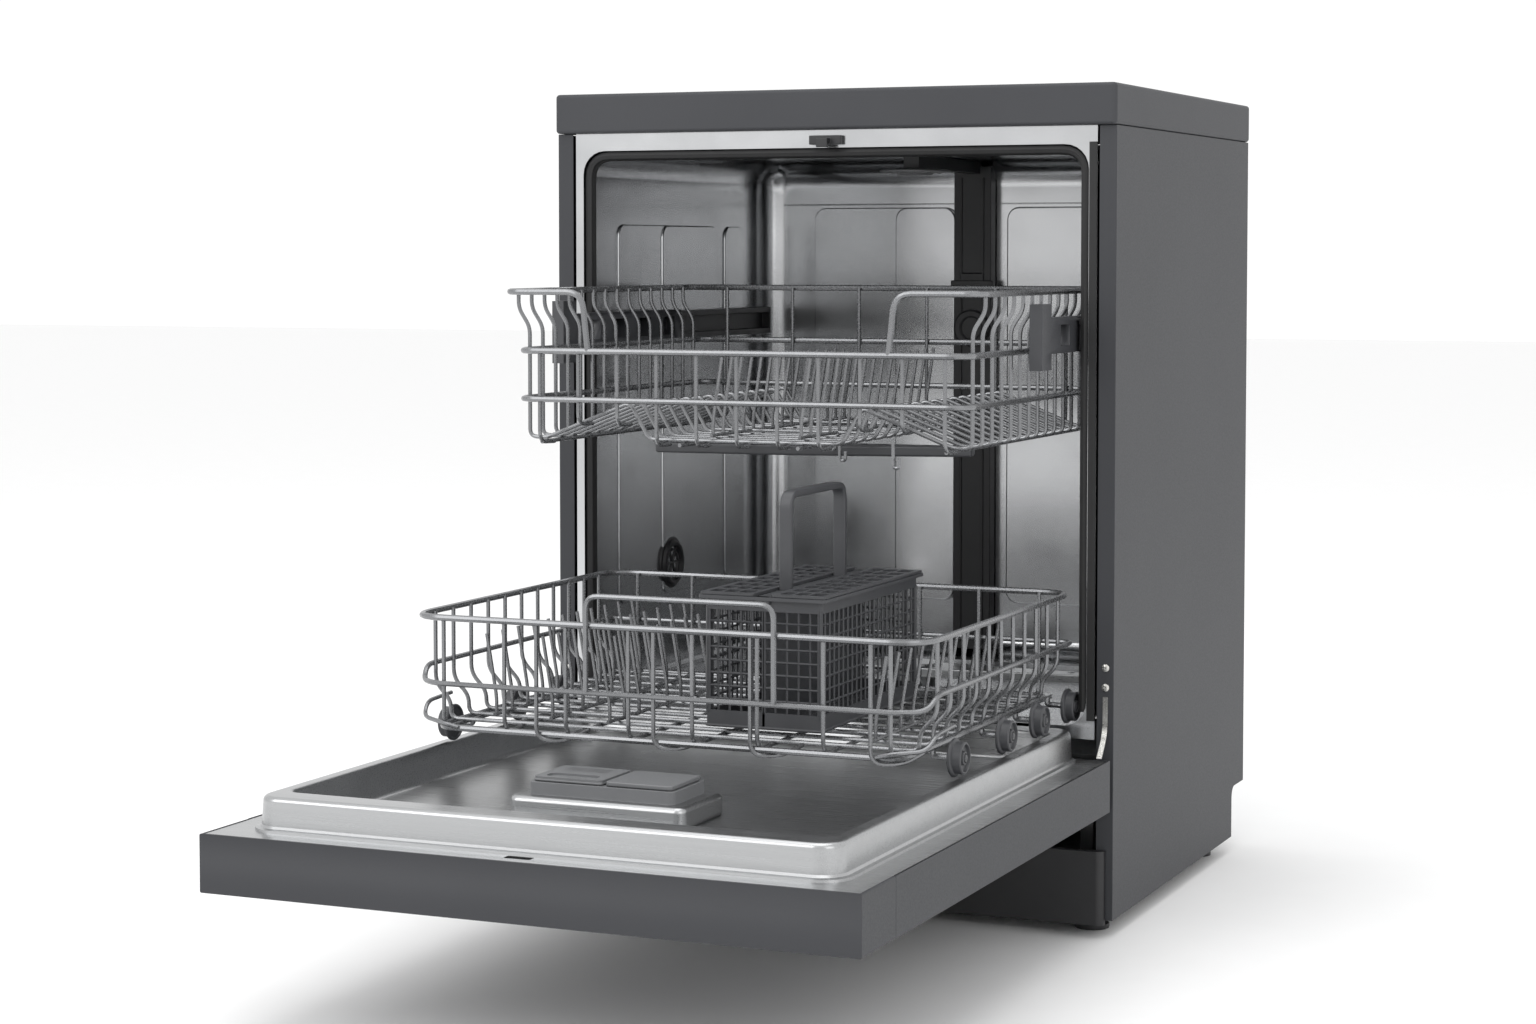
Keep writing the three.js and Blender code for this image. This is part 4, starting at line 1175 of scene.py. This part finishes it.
    def water_parts(self) -> None:
        """Builds the filter, salt cap, spray arm, sump, pump and softener."""
        softened("filter_plate", 0.5)
        softened("filter_cylinder", 0.8)
        softened("salt_cap", 1.4)
        softened("sump", 1.5)
        softened("circulation_pump", 2.0)
        softened("water_softener", 4.0, segments=3)
        arm = Shape.of_node("lower_spray_arm").soften(1.8, 3)
        for x in self.nozzles:
            arm.turned(
                [(0, 1.4), (2, 1.4), (2.6, 0.9), (3.6, 0.7), (4.2, 0), (0, 0)],
                (x, self.arm_y + (5 if x > 0 else -5), 217.4), Axis.Z, steps=16,
            )
        stands_for(arm.piece("lower_arm_blades", BRUSHED_X), "lower_spray_arm")


# ---------------------------------------------------------------- door


@dataclass
class Door:
    """The open door: outer panel, fascia, liner, dispenser and controls."""

    half: float = 295.1
    end: float = -654.1
    foot: float = -11.6
    top: float = 174.1
    sheet: float = 1.2
    rim_half: float = 266.0
    rim_end: float = -627.0
    rim_top: float = 203.5
    margin: float = 15.0
    front_margin: float = 30.0
    dish_floor: float = 176.5
    dish_foot: float = -44.6
    pad: tuple[float, float, float, float] = (-90.0, 76.0, -502.0, -414.0)
    pad_top: float = 196.0
    slot: tuple[float, float, float, float] = (-18.0, 6.0, -643.0, -633.0)
    dispenser: tuple[float, float, float, float] = (-76.0, 62.0, -490.0, -424.0)
    lid_low: float = 207.4

    def build(self) -> None:
        """Builds the door."""
        softened("door_outer_panel", 0.9)
        softened("control_fascia", 1.2, segments=3)
        softened("door_latch", 0.8)
        for button in ("power_button", "start_button"):
            softened(button, 0.7)
        softened("display_window", 0.5)
        self.liner()
        self.dispenser_unit()

    def liner(self) -> None:
        """Builds the pressed liner: a sheet, a stepped rim, a dish and the dispenser's pad."""
        shape = Shape().sheet(
            (-self.half, self.half, self.end, self.foot),
            [(self.slot, 2.0)],
            self.top - self.sheet,
            self.top,
        )
        bm = bmesh.new()
        x, y0, y1 = self.rim_half, self.rim_end, self.foot
        lip, dish, ahead = self.margin, self.dish_foot, y0 + self.front_margin
        rows: list[tuple[float, float, float, float, float]] = [
            # half width, front, back, corner, height
            (x + 5.6, y0 - 5.6, y1, 27.0, self.top - 0.6),
            (x + 5.0, y0 - 5.0, y1, 26.0, self.top + 2.2),
            (x + 1.6, y0 - 1.6, y1, 23.0, self.top + 3.0),
            (x, y0, y1, 22.0, self.top + 5.0),
            (x - 1.5, y0 + 1.5, y1 - 1.0, 21.0, self.rim_top),
            (x - lip, ahead, dish, 12.0, self.rim_top),
            (x - lip - 15, ahead + 12, dish - 12, 18.0, self.dish_floor),
        ]
        for half, front, back, radius, z in rows:
            Shape.ring(bm, (-half, half, front, back), z, (radius, radius))
        bm.edges.ensure_lookup_table()
        each = len(bm.edges) // len(rows)
        rings = [bm.edges[i * each : (i + 1) * each] for i in range(len(rows))]
        Shape.bridge(bm, rings)
        bmesh.ops.contextual_create(bm, geom=rings[0])
        bmesh.ops.contextual_create(bm, geom=rings[-1])
        bmesh.ops.recalc_face_normals(bm, faces=bm.faces)
        for index, width in ((4, 4.5), (5, 2.0), (6, 5.0)):
            level = rows[index][4]
            half = rows[index][0]
            chosen = [
                e for e in bm.edges
                if all(abs(v.co.z - level) < 0.01 for v in e.verts)
                and e.calc_face_angle(0.0) > math.radians(25)
                and max(abs(v.co.x) for v in e.verts) <= half + 0.01
                and (index != 4 or self.on_outer(e, rows[4]))
            ]
            Shape.ease(bm, chosen, width, 5)
        shape.merge(bm)
        px0, px1, py0, py1 = self.pad
        shape.block(
            (px0, py0, self.dish_floor - 1), (px1, py1, self.pad_top),
            edge=5.0, corner=9.0, segments=4,
        )
        stands_for(shape.piece("door_inner_pressing", BRUSHED_X), "door_liner")

    @staticmethod
    def on_outer(edge: bmesh.types.BMEdge, row: tuple) -> bool:
        """Tells whether an edge lies on the outer border of the rim's top.

        Args:
            edge: The edge.
            row: The border's half width, front, back, corner and height.

        Returns:
            True where both its ends lie on the border or within a corner's reach of it.
        """
        half, front, back, radius, _ = row
        return all(
            abs(v.co.x) > half - 0.1 or v.co.y < front + radius or v.co.y > back - radius
            for v in edge.verts
        )

    def dispenser_unit(self) -> None:
        """Builds the dispenser: a stepped housing, a sliding lid with a grip and a hinged lid."""
        x0, x1, y0, y1 = self.dispenser
        body = Shape.of_node("dispenser_housing").soften(1.0, 3)
        stands_for(body.piece("dispenser_body", GREY_PP), "dispenser_housing")
        z = self.lid_low
        lid = Shape().block(
            (x0 + 3, y0 + 3, z), (-7, y1 - 3, z + 2.2), edge=0.9, corner=4, segments=3
        )
        lid.sheet((x0 + 3.6, -7.6, y0 + 3.6, y1 - 3.6), [((x0 + 11, -17, y0 + 9, y0 + 25), 6.0)],
                  z + 1.5, z + 4.0, corner=4.0)
        for y in (y1 - 26, y1 - 20, y1 - 14):
            lid.block((x0 + 14, y, z + 3.6), (-20, y + 1.6, z + 4.0), edge=0.2)
        stands_for(lid.piece("detergent_slide", GREY_PP), "detergent_lid")
        flap = Shape().block(
            (-4, y0 + 3, z), (x1 - 3, y1 - 3, z + 4), edge=1.1, corner=4, segments=3
        )
        stands_for(flap.piece("rinse_aid_flap", GREY_PP), "rinse_aid_lid")


# ---------------------------------------------------------------- lower basket


@dataclass
class LowerBasket:
    """The lower basket: its rails, hoops, tines, wheels and cutlery basket."""

    half: float = 249.0
    foot_half: float = 228.0
    front: float = -390.0
    rear: float = 22.0
    floor: float = 232.0
    top: float = 330.0
    rail: float = 6.0
    wire: float = 4.0
    tine: float = 3.4
    wheel_z: float = 221.5
    wheel_inner: float = 246.5
    wheel_width: float = 12.0
    wheel_radius: float = 17.0
    drum: float = 14.2
    stations: tuple[float, ...] = (-312.0, -183.2, -86.6, 10.0)
    left_rows: tuple[float, ...] = (-190.0, -132.0, -74.0)
    right_rows: tuple[float, ...] = (184.0,)
    lean: float = 10.0
    tine_height: float = 74.0
    tine_count: int = 11
    tie_inset: float = 88.0
    hoop_count: int = 11
    long_count: int = 8
    handle: tuple[float, float, float] = (-69.0, 112.0, 357.0)
    loops: tuple[tuple[float, int], ...] = ((-122.0, 1), (-6.0, 1), (87.0, 1), (199.0, 1))

    def build(self) -> None:
        """Builds the basket."""
        self.rails()
        self.hoops()
        self.tines()
        for side, way in (("left", -1), ("right", 1)):
            for i, y in enumerate(self.stations):
                self.wheel(f"wheel_{side}_{i + 1}", way, y)

    def rails(self) -> None:
        """Builds the closed top rail, the stepped lower rails, the front loops and the handle."""
        work = WireWork("lower_rails")
        h, f, r = self.half, self.front, self.rear
        work.wire([(-h, f, self.top), (h, f, self.top), (h, r, self.top), (-h, r, self.top)],
                  self.rail, 34.0, closed=True)
        low, high = self.top - 60, self.top - 48
        middle = [
            (-h, r, high), (-h, f + 52, high), (-h, f + 30, high), (-h + 4, f + 16, low),
            (-h + 24, f, low), (h - 24, f, low), (h - 4, f + 16, low), (h, f + 34, high),
            (h, f + 60, high), (h, r, high),
        ]
        work.wire(middle, 5.0, 10.0, closed=True)
        for side in (-1, 1):
            work.wire(
                [(side * h, f + 74, self.floor + 18), (side * h, f + 30, self.floor + 16),
                 (side * (h - 4), f + 16, self.floor + 4), (side * (h - 30), f + 3, self.floor + 2),
                 (side * (h - 46), f + 5, self.floor - 2)],
                self.wire, 10.0,
            )
        for x, way in self.loops:
            work.wire(
                [(x, f + 3, self.top), (x, f + 3, self.floor - 8),
                 (x + way * 26, f + 12, self.floor - 8), (x + way * 34, f + 40, self.floor - 2)],
                self.wire, 12.0,
            )
        a, b, z = self.handle
        y = f - 4
        work.wire([(a, y, low + 2), (a, y, z), (b, y, z), (b, y, low + 2)], 5.0, 13.0)
        stands_for(work.piece(COATED_WIRE), "lower_basket_front", "lower_basket_rear")

    def hoops(self) -> None:
        """Builds the wires that run down, under the load and up, the floor ring and the axles."""
        work = WireWork("lower_hoops")
        h, f, r = self.half, self.front, self.rear
        for x in spaced(-h + 32, h - 32, self.long_count):
            work.wire(
                [(x, f + 4, self.top), (x, f + 4, self.floor - 3), (x, r - 4, self.floor - 3),
                 (x, r - 4, self.top)],
                self.wire, 15.0,
            )
        for y in spaced(f + 40, r - 36, self.hoop_count):
            side = [(h - 3, y, self.top), (h - 3, y, self.top - 66), (h - 19, y, self.top - 82),
                    (h - 19, y, self.floor)]
            other = [(-px, py, pz) for px, py, pz in reversed(side)]
            work.wire(side + other, self.wire, 9.0)
        x, z = self.foot_half, self.floor - 3
        ring = [(-x, f + 8, z), (x, f + 8, z), (x, r - 6, z), (-x, r - 6, z)]
        work.wire(ring, self.rail, 22.0, closed=True)
        for side in (-1, 1):
            x = side * self.foot_half
            for y in self.stations:
                outer = side * (self.wheel_inner + self.wheel_width + 0.8)
                work.wire([(x, y, self.floor - 4), (x, y, self.wheel_z),
                           (outer, y, self.wheel_z)], 5.6, 4.0)
        stands_for(work.piece(COATED_WIRE), "lower_basket_cradle")

    def tines(self) -> None:
        """Builds the rows of tines on their long wires, with the wires that tie them."""
        work = WireWork("lower_tines")
        z = self.floor + 4.1
        y0, y1 = self.front + 50, self.rear - 50
        for rows, way in ((self.left_rows, -1), (self.right_rows, 1)):
            for x in rows:
                work.wire([(x, y0, z), (x, y1, z)], self.tine)
                for y in spaced(y0 + 4, y1 - 4, self.tine_count):
                    top = (x + way * self.lean, y, z + self.tine_height)
                    work.wire([(x, y, z), (x, y, z + 16), top], self.tine, 8.0)
        for y in (self.front + self.tie_inset, self.rear - self.tie_inset):
            work.wire([(-200, y, z), (194, y, z)], self.tine)
        stands_for(work.piece(COATED_WIRE), "lower_basket_tines")

    def wheel(self, node: str, way: int, y: float) -> None:
        """Builds one wheel with its flange, drum, dished face and hub.

        Args:
            node: The CAD wheel.
            way: Which side it is on.
            y: Its place along the basket.
        """
        r, w, d = self.wheel_radius, self.wheel_width, self.drum
        outline = [
            (4.4, 0.4), (6.6, 0), (7.4, 1.4), (r - 3, 1.4), (r - 2.2, 0), (r - 1, 0), (r, 1),
            (r, 2.8), (r - 1, 3.8), (d + 0.3, 4.2), (d, 5), (d, w - 1), (d - 1, w), (d - 2, w),
            (d - 2.8, w - 2.6), (6.6, w - 3), (5.8, w - 0.4), (4.4, w), (4.4, 0.4),
        ]
        shape = Shape().turned(
            [(radius, way * height) for radius, height in outline],
            (way * self.wheel_inner, y, self.wheel_z), Axis.X, steps=40,
        )
        shape.turned(
            [(0, way * (w + 1.0)), (2.2, way * (w + 0.9)), (3.4, way * (w + 0.2)),
             (3.4, way * (w - 3)), (0, way * (w - 3))],
            (way * self.wheel_inner, y, self.wheel_z), Axis.X, steps=20,
        )
        stands_for(shape.piece(node + "_tyre", DARK_PP), node)


@dataclass
class CutleryBasket:
    """The cutlery basket that stands in the lower basket."""

    x0: float = 20.0
    x1: float = 142.0
    y0: float = -350.0
    y1: float = -102.0
    low: float = 239.8
    high: float = 357.8
    inset: float = 6.0
    bar: float = 2.2
    cell: float = 10.6
    arch_top: float = 454.0
    arch_bar: float = 6.5
    arch_width: float = 12.0
    slots_along: int = 9

    def build(self) -> None:
        """Builds the basket and its two lids."""
        shape = Shape()
        a, b = self.x0 + self.inset, self.x1 - self.inset
        c, d = self.y0 + self.inset, self.y1 - self.inset
        low, high = self.low + 14, self.high - 12
        rise = (0, 0, high - low)
        rows = round((high - low) / (self.cell * 1.15))
        across = round((b - a) / self.cell)
        length = round((d - c) / self.cell)
        for y in (c + 1, d - 1):
            shape.lattice((a, y, low), (b - a, 0, 0), rise, (across, rows), self.bar)
        for x in (a + 1, b - 1):
            shape.lattice((x, c, low), (0, d - c, 0), rise, (length, rows), self.bar)
        shape.lattice((a, c, self.low + 1.4), (b - a, 0, 0), (0, d - c, 0), (across, length), 2.6)
        for span, z0, z1, hole in (
            ((a, b, c, d), self.low, self.low + 15, 3.0),
            ((self.x0, self.x1, self.y0, self.y1), self.high - 3.0, self.high, 8.5),
            ((a - 1, b + 1, c - 1, d + 1), self.high - 13, self.high - 2, 3.5),
        ):
            inner = (span[0] + hole, span[1] - hole, span[2] + hole, span[3] - hole)
            shape.sheet(span, [(inner, 2.0)], z0, z1, corner=4.0)
        middle = (self.x0 + self.x1) / 2
        for x in (a, middle - 2, b - 4):
            for y in (c, d - 4):
                shape.block((x, y, self.low), (x + 4, y + 4, self.high - 3), edge=0.8)
        shape.block((middle - 1, c, self.low + 1), (middle + 1, d, self.high - 4), edge=0.4)
        shape.block(
            (middle - 7.4, self.y0 + 1, self.high - 7), (middle + 7.4, self.y1 - 1, self.high),
            edge=1.0, corner=2.0,
        )
        self.arch(shape, middle)
        stands_for(shape.piece("cutlery_cage", DARK_PP), "cutlery_basket")
        for side in (-1, 1):
            self.lid(side, middle)

    def arch(self, shape: Shape, x: float) -> None:
        """Adds the arched handle.

        Args:
            shape: The basket.
            x: The middle of the handle.
        """
        front, back = self.y0 + 48, self.y1 - 52
        base, half = self.high - 5, self.arch_bar
        path = bent(
            [(0, front + half, base), (0, front + half, self.arch_top - half),
             (0, back - half, self.arch_top - half), (0, back - half, base)], 18.0, steps=8,
        )
        bm = ribbon(path, x - self.arch_width / 2, self.arch_width, half)
        for v in bm.verts:
            v.co.z = min(v.co.z, self.arch_top)
        sharp = [e for e in bm.edges if e.calc_face_angle(0.0) > math.radians(50)]
        Shape.ease(bm, sharp, 1.8, 3)
        shape.merge(bm)

    def lid(self, side: int, middle: float) -> None:
        """Builds one slotted lid.

        Args:
            side: Which side of the channel it is on.
            middle: The middle of the channel.
        """
        a = self.x0 + 1 if side < 0 else middle + 8
        b = middle - 8 if side < 0 else self.x1 - 1
        z = self.high + 0.4
        shape = Shape()
        holes = []
        for y in spaced(self.y0 + 18, self.y1 - 18, self.slots_along):
            for u, v in ((a + 6, a + 17), (a + 20, a + 31), (a + 34, b - 5)):
                holes.append(((u, v, y - 9.4, y + 9.4), 3.4))
        shape.sheet((a, b, self.y0 + 2, self.y1 - 2), holes, z, z + 2.2, corner=3.0)
        node = "cutlery_lid_left" if side < 0 else "cutlery_lid_right"
        stands_for(shape.piece(node + "_plate", DARK_PP), node)


# ---------------------------------------------------------------- upper basket


@dataclass
class UpperBasket:
    """The upper basket: rails, gull-wing floor, tines, height adjusters and spray arm."""

    half: float = 240.0
    front: float = -224.0
    rear: float = 188.0
    top: float = 623.0
    floor: float = 484.0
    jog: float = 12.0
    rail: float = 6.0
    wire: float = 4.0
    tine: float = 3.4
    rows: tuple[float, ...] = (-40.0, 50.0)
    lean: float = 9.0
    tine_height: float = 74.0
    arm_x: float = -6.0
    arm_y: float = -18.0
    arm_z: float = 461.0
    arm_turn: float = 10.0
    inner_post: float = 158.0
    nozzles: tuple[float, ...] = (-142, -112, -82, -54, 52, 84, 114, 146)
    # x, y and drop of each hook under the floor
    hooks: tuple[Point, ...] = ((28, -60, 15), (46, -78, 24), (150, -206, 20))
    hoop_count: int = 15
    front_count: int = 11
    rear_count: int = 6
    tine_count: int = 15
    tie_inset: float = 130.0

    def build(self) -> None:
        """Builds the basket."""
        self.rails()
        self.hoops()
        self.tines()
        for side in ("left", "right"):
            softened(f"height_adjuster_{side}", 1.2)
        softened("upper_feed", 1.5, segments=3)
        self.arm()

    def rails(self) -> None:
        """Builds the top rail with its corner loops and the two front rails."""
        work = WireWork("upper_rails")
        h, f, r, t = self.half, self.front, self.rear, self.top
        side_x = h - self.jog - 1
        for side in (-1, 1):
            x = side * h
            work.wire(
                [(0, r, t), (x, r, t), (x, f, t), (side * self.inner_post, f, t),
                 (side * (self.inner_post - 6), f, t - 56)],
                self.rail, 16.0,
            )
            work.wire(
                [(side * side_x, r - 6, t - 102), (side * side_x, f + 20, t - 102)], self.wire
            )
        for z, thick in ((t - 56, self.rail), (t - 102, 5.6)):
            work.wire(
                [(-side_x, r, z), (-side_x, f, z), (side_x, f, z), (side_x, r, z)], thick, 20.0,
                closed=True,
            )
        stands_for(work.piece(COATED_WIRE), "upper_basket_front", "upper_basket_rear")

    def hoops(self) -> None:
        """Builds the cross wires with their gull-wing floor, the end wires and the hooks."""
        work = WireWork("upper_hoops")
        h, f, r, t = self.half, self.front, self.rear, self.top
        inner = h - self.jog - 3
        for y in spaced(f + 22, r - 16, self.hoop_count):
            side = [
                (h - 3, y, t), (h - 3, y, t - 16), (inner, y, t - 34), (inner, y, self.floor),
                (inner - 18, y, self.floor - 1), (118, y, self.floor + 34), (98, y, self.floor),
            ]
            other = [(-px, py, pz) for px, py, pz in reversed(side)]
            work.wire(side + other, self.wire, 7.0)
        for x in spaced(-205, 205, self.front_count):
            low = self.floor - 4 if abs(x) < 100 or abs(x) > 180 else self.floor + 14
            work.wire(
                [(x, f + 4, t - 56), (x, f + 4, low), (x, f + 34, low - 1)], self.wire, 11.0
            )
        for x in spaced(-190, 190, self.rear_count):
            work.wire([(x, r - 4, t), (x, r - 4, self.floor + 2), (x, r - 30, self.floor + 2)],
                      self.wire, 9.0)
        for x in (-205, -60, 60, 205):
            work.wire([(x, f + 8, self.floor - 4), (x, r - 8, self.floor - 4)], self.wire)
        for x, y, drop in self.hooks:
            work.wire(
                [(x, y, self.floor + 2), (x, y, self.floor - drop), (x + 6, y, self.floor - drop),
                 (x + 6, y, self.floor - drop + 9)],
                self.tine, 3.0,
            )
        stands_for(work.piece(COATED_WIRE), "upper_basket_cradle")

    def tines(self) -> None:
        """Builds the rows of tines."""
        work = WireWork("upper_tines")
        z = self.floor + 4.1
        y0, y1 = self.front + 36, self.rear - 36
        for x in self.rows:
            work.wire([(x, y0, z), (x, y1, z)], self.tine)
            for y in spaced(y0 + 4, y1 - 4, self.tine_count):
                work.wire(
                    [(x, y, z), (x, y, z + 14), (x + self.lean, y, z + self.tine_height)],
                    self.tine, 8.0,
                )
        for y in (self.front + self.tie_inset, self.rear - self.tie_inset):
            work.wire([(-80, y, z), (90, y, z)], self.tine)
        stands_for(work.piece(COATED_WIRE), "upper_basket_tines")

    def arm(self) -> None:
        """Builds the upper spray arm with its nozzles."""
        shape = Shape.of_node("upper_spray_arm").soften(2.4, 3)
        turn = math.radians(self.arm_turn)
        for reach in self.nozzles:
            x = self.arm_x + reach * math.cos(turn)
            y = self.arm_y + reach * math.sin(turn)
            shape.turned(
                [(0, 1.2), (2, 1.2), (2.6, 0.8), (4, 0.6), (4.6, 0), (0, 0)],
                (x, y, self.arm_z + 9.6), Axis.Z, steps=16,
            )
        stands_for(shape.piece("upper_arm_blades", DARK_PP), "upper_spray_arm")


# ---------------------------------------------------------------- studio


@dataclass
class Studio:
    """The plain floor, the soft lights and the camera."""

    camera_at: tuple[float, float, float] = (1.1156, -2.6556, 0.6592)
    heading: float = 23.340
    tilt: float = 2.995
    lens: float = 69.64
    sensor: float = 36.0
    shift: float = -0.0670
    floor_side: float = 40.0
    ambient: float = 1.04
    lights: tuple[tuple[str, tuple, tuple, float, float], ...] = field(
        default_factory=lambda: (
            # name, place, point that it faces, side, power
            ("key_softbox", (-2.2, -3.4, 2.6), (0.0, 0.0, 0.4), 2.6, 55.0),
            ("fill_softbox", (3.2, -2.4, 1.9), (0.0, 0.0, 0.4), 2.4, 22.0),
            ("top_softbox", (0.0, -0.6, 3.4), (0.0, 0.0, 0.0), 2.8, 40.0),
        )
    )

    def build(self) -> None:
        """Builds the stage."""
        bm = bmesh.new()
        bmesh.ops.create_grid(bm, x_segments=1, y_segments=1, size=self.floor_side / 2)
        mesh = bpy.data.meshes.new("floor")
        bm.to_mesh(mesh)
        bm.free()
        floor = bpy.data.objects.new("floor", mesh)
        bpy.context.scene.collection.objects.link(floor)
        # Matt white paper sweep: flat and even.
        paper = Finish("matt white paper", "#f4f4f4", "#f7f7f7", 0.9, grain=30.0, relief=0.0)
        mesh.materials.append(paper.material())
        for name, at, aim, side, power in self.lights:
            data = bpy.data.lights.new(name, "AREA")
            data.shape = "SQUARE"
            data.size = side
            data.energy = power
            lamp = bpy.data.objects.new(name, data)
            lamp.location = at
            lamp.rotation_euler = (Vector(aim) - Vector(at)).to_track_quat("-Z", "Y").to_euler()
            bpy.context.scene.collection.objects.link(lamp)
        world = bpy.data.worlds.new("studio")
        world.use_nodes = True
        sky = world.node_tree.nodes["Background"]
        sky.inputs["Color"].default_value = linear("#ffffff")
        sky.inputs["Strength"].default_value = self.ambient
        bpy.context.scene.world = world
        bpy.context.scene.view_settings.view_transform = "Standard"
        self.camera()

    def camera(self) -> None:
        """Sets up the camera."""
        data = bpy.data.cameras.new("camera")
        data.lens = self.lens
        data.sensor_width = self.sensor
        data.shift_y = self.shift
        data.clip_end = 100.0
        camera = bpy.data.objects.new("camera", data)
        camera.location = self.camera_at
        camera.rotation_euler = (math.radians(90 - self.tilt), 0.0, math.radians(self.heading))
        bpy.context.scene.collection.objects.link(camera)
        bpy.context.scene.camera = camera


def main() -> None:
    """Builds the whole scene."""
    logging.basicConfig(level=logging.INFO, format="%(name)s: %(message)s")
    Studio().build()
    for part in (Cabinet(), Tub(), Door(), LowerBasket(), CutleryBasket(), UpperBasket()):
        part.build()
        log.info("%s is built", type(part).__name__)


if __name__ == "__main__":
    main()
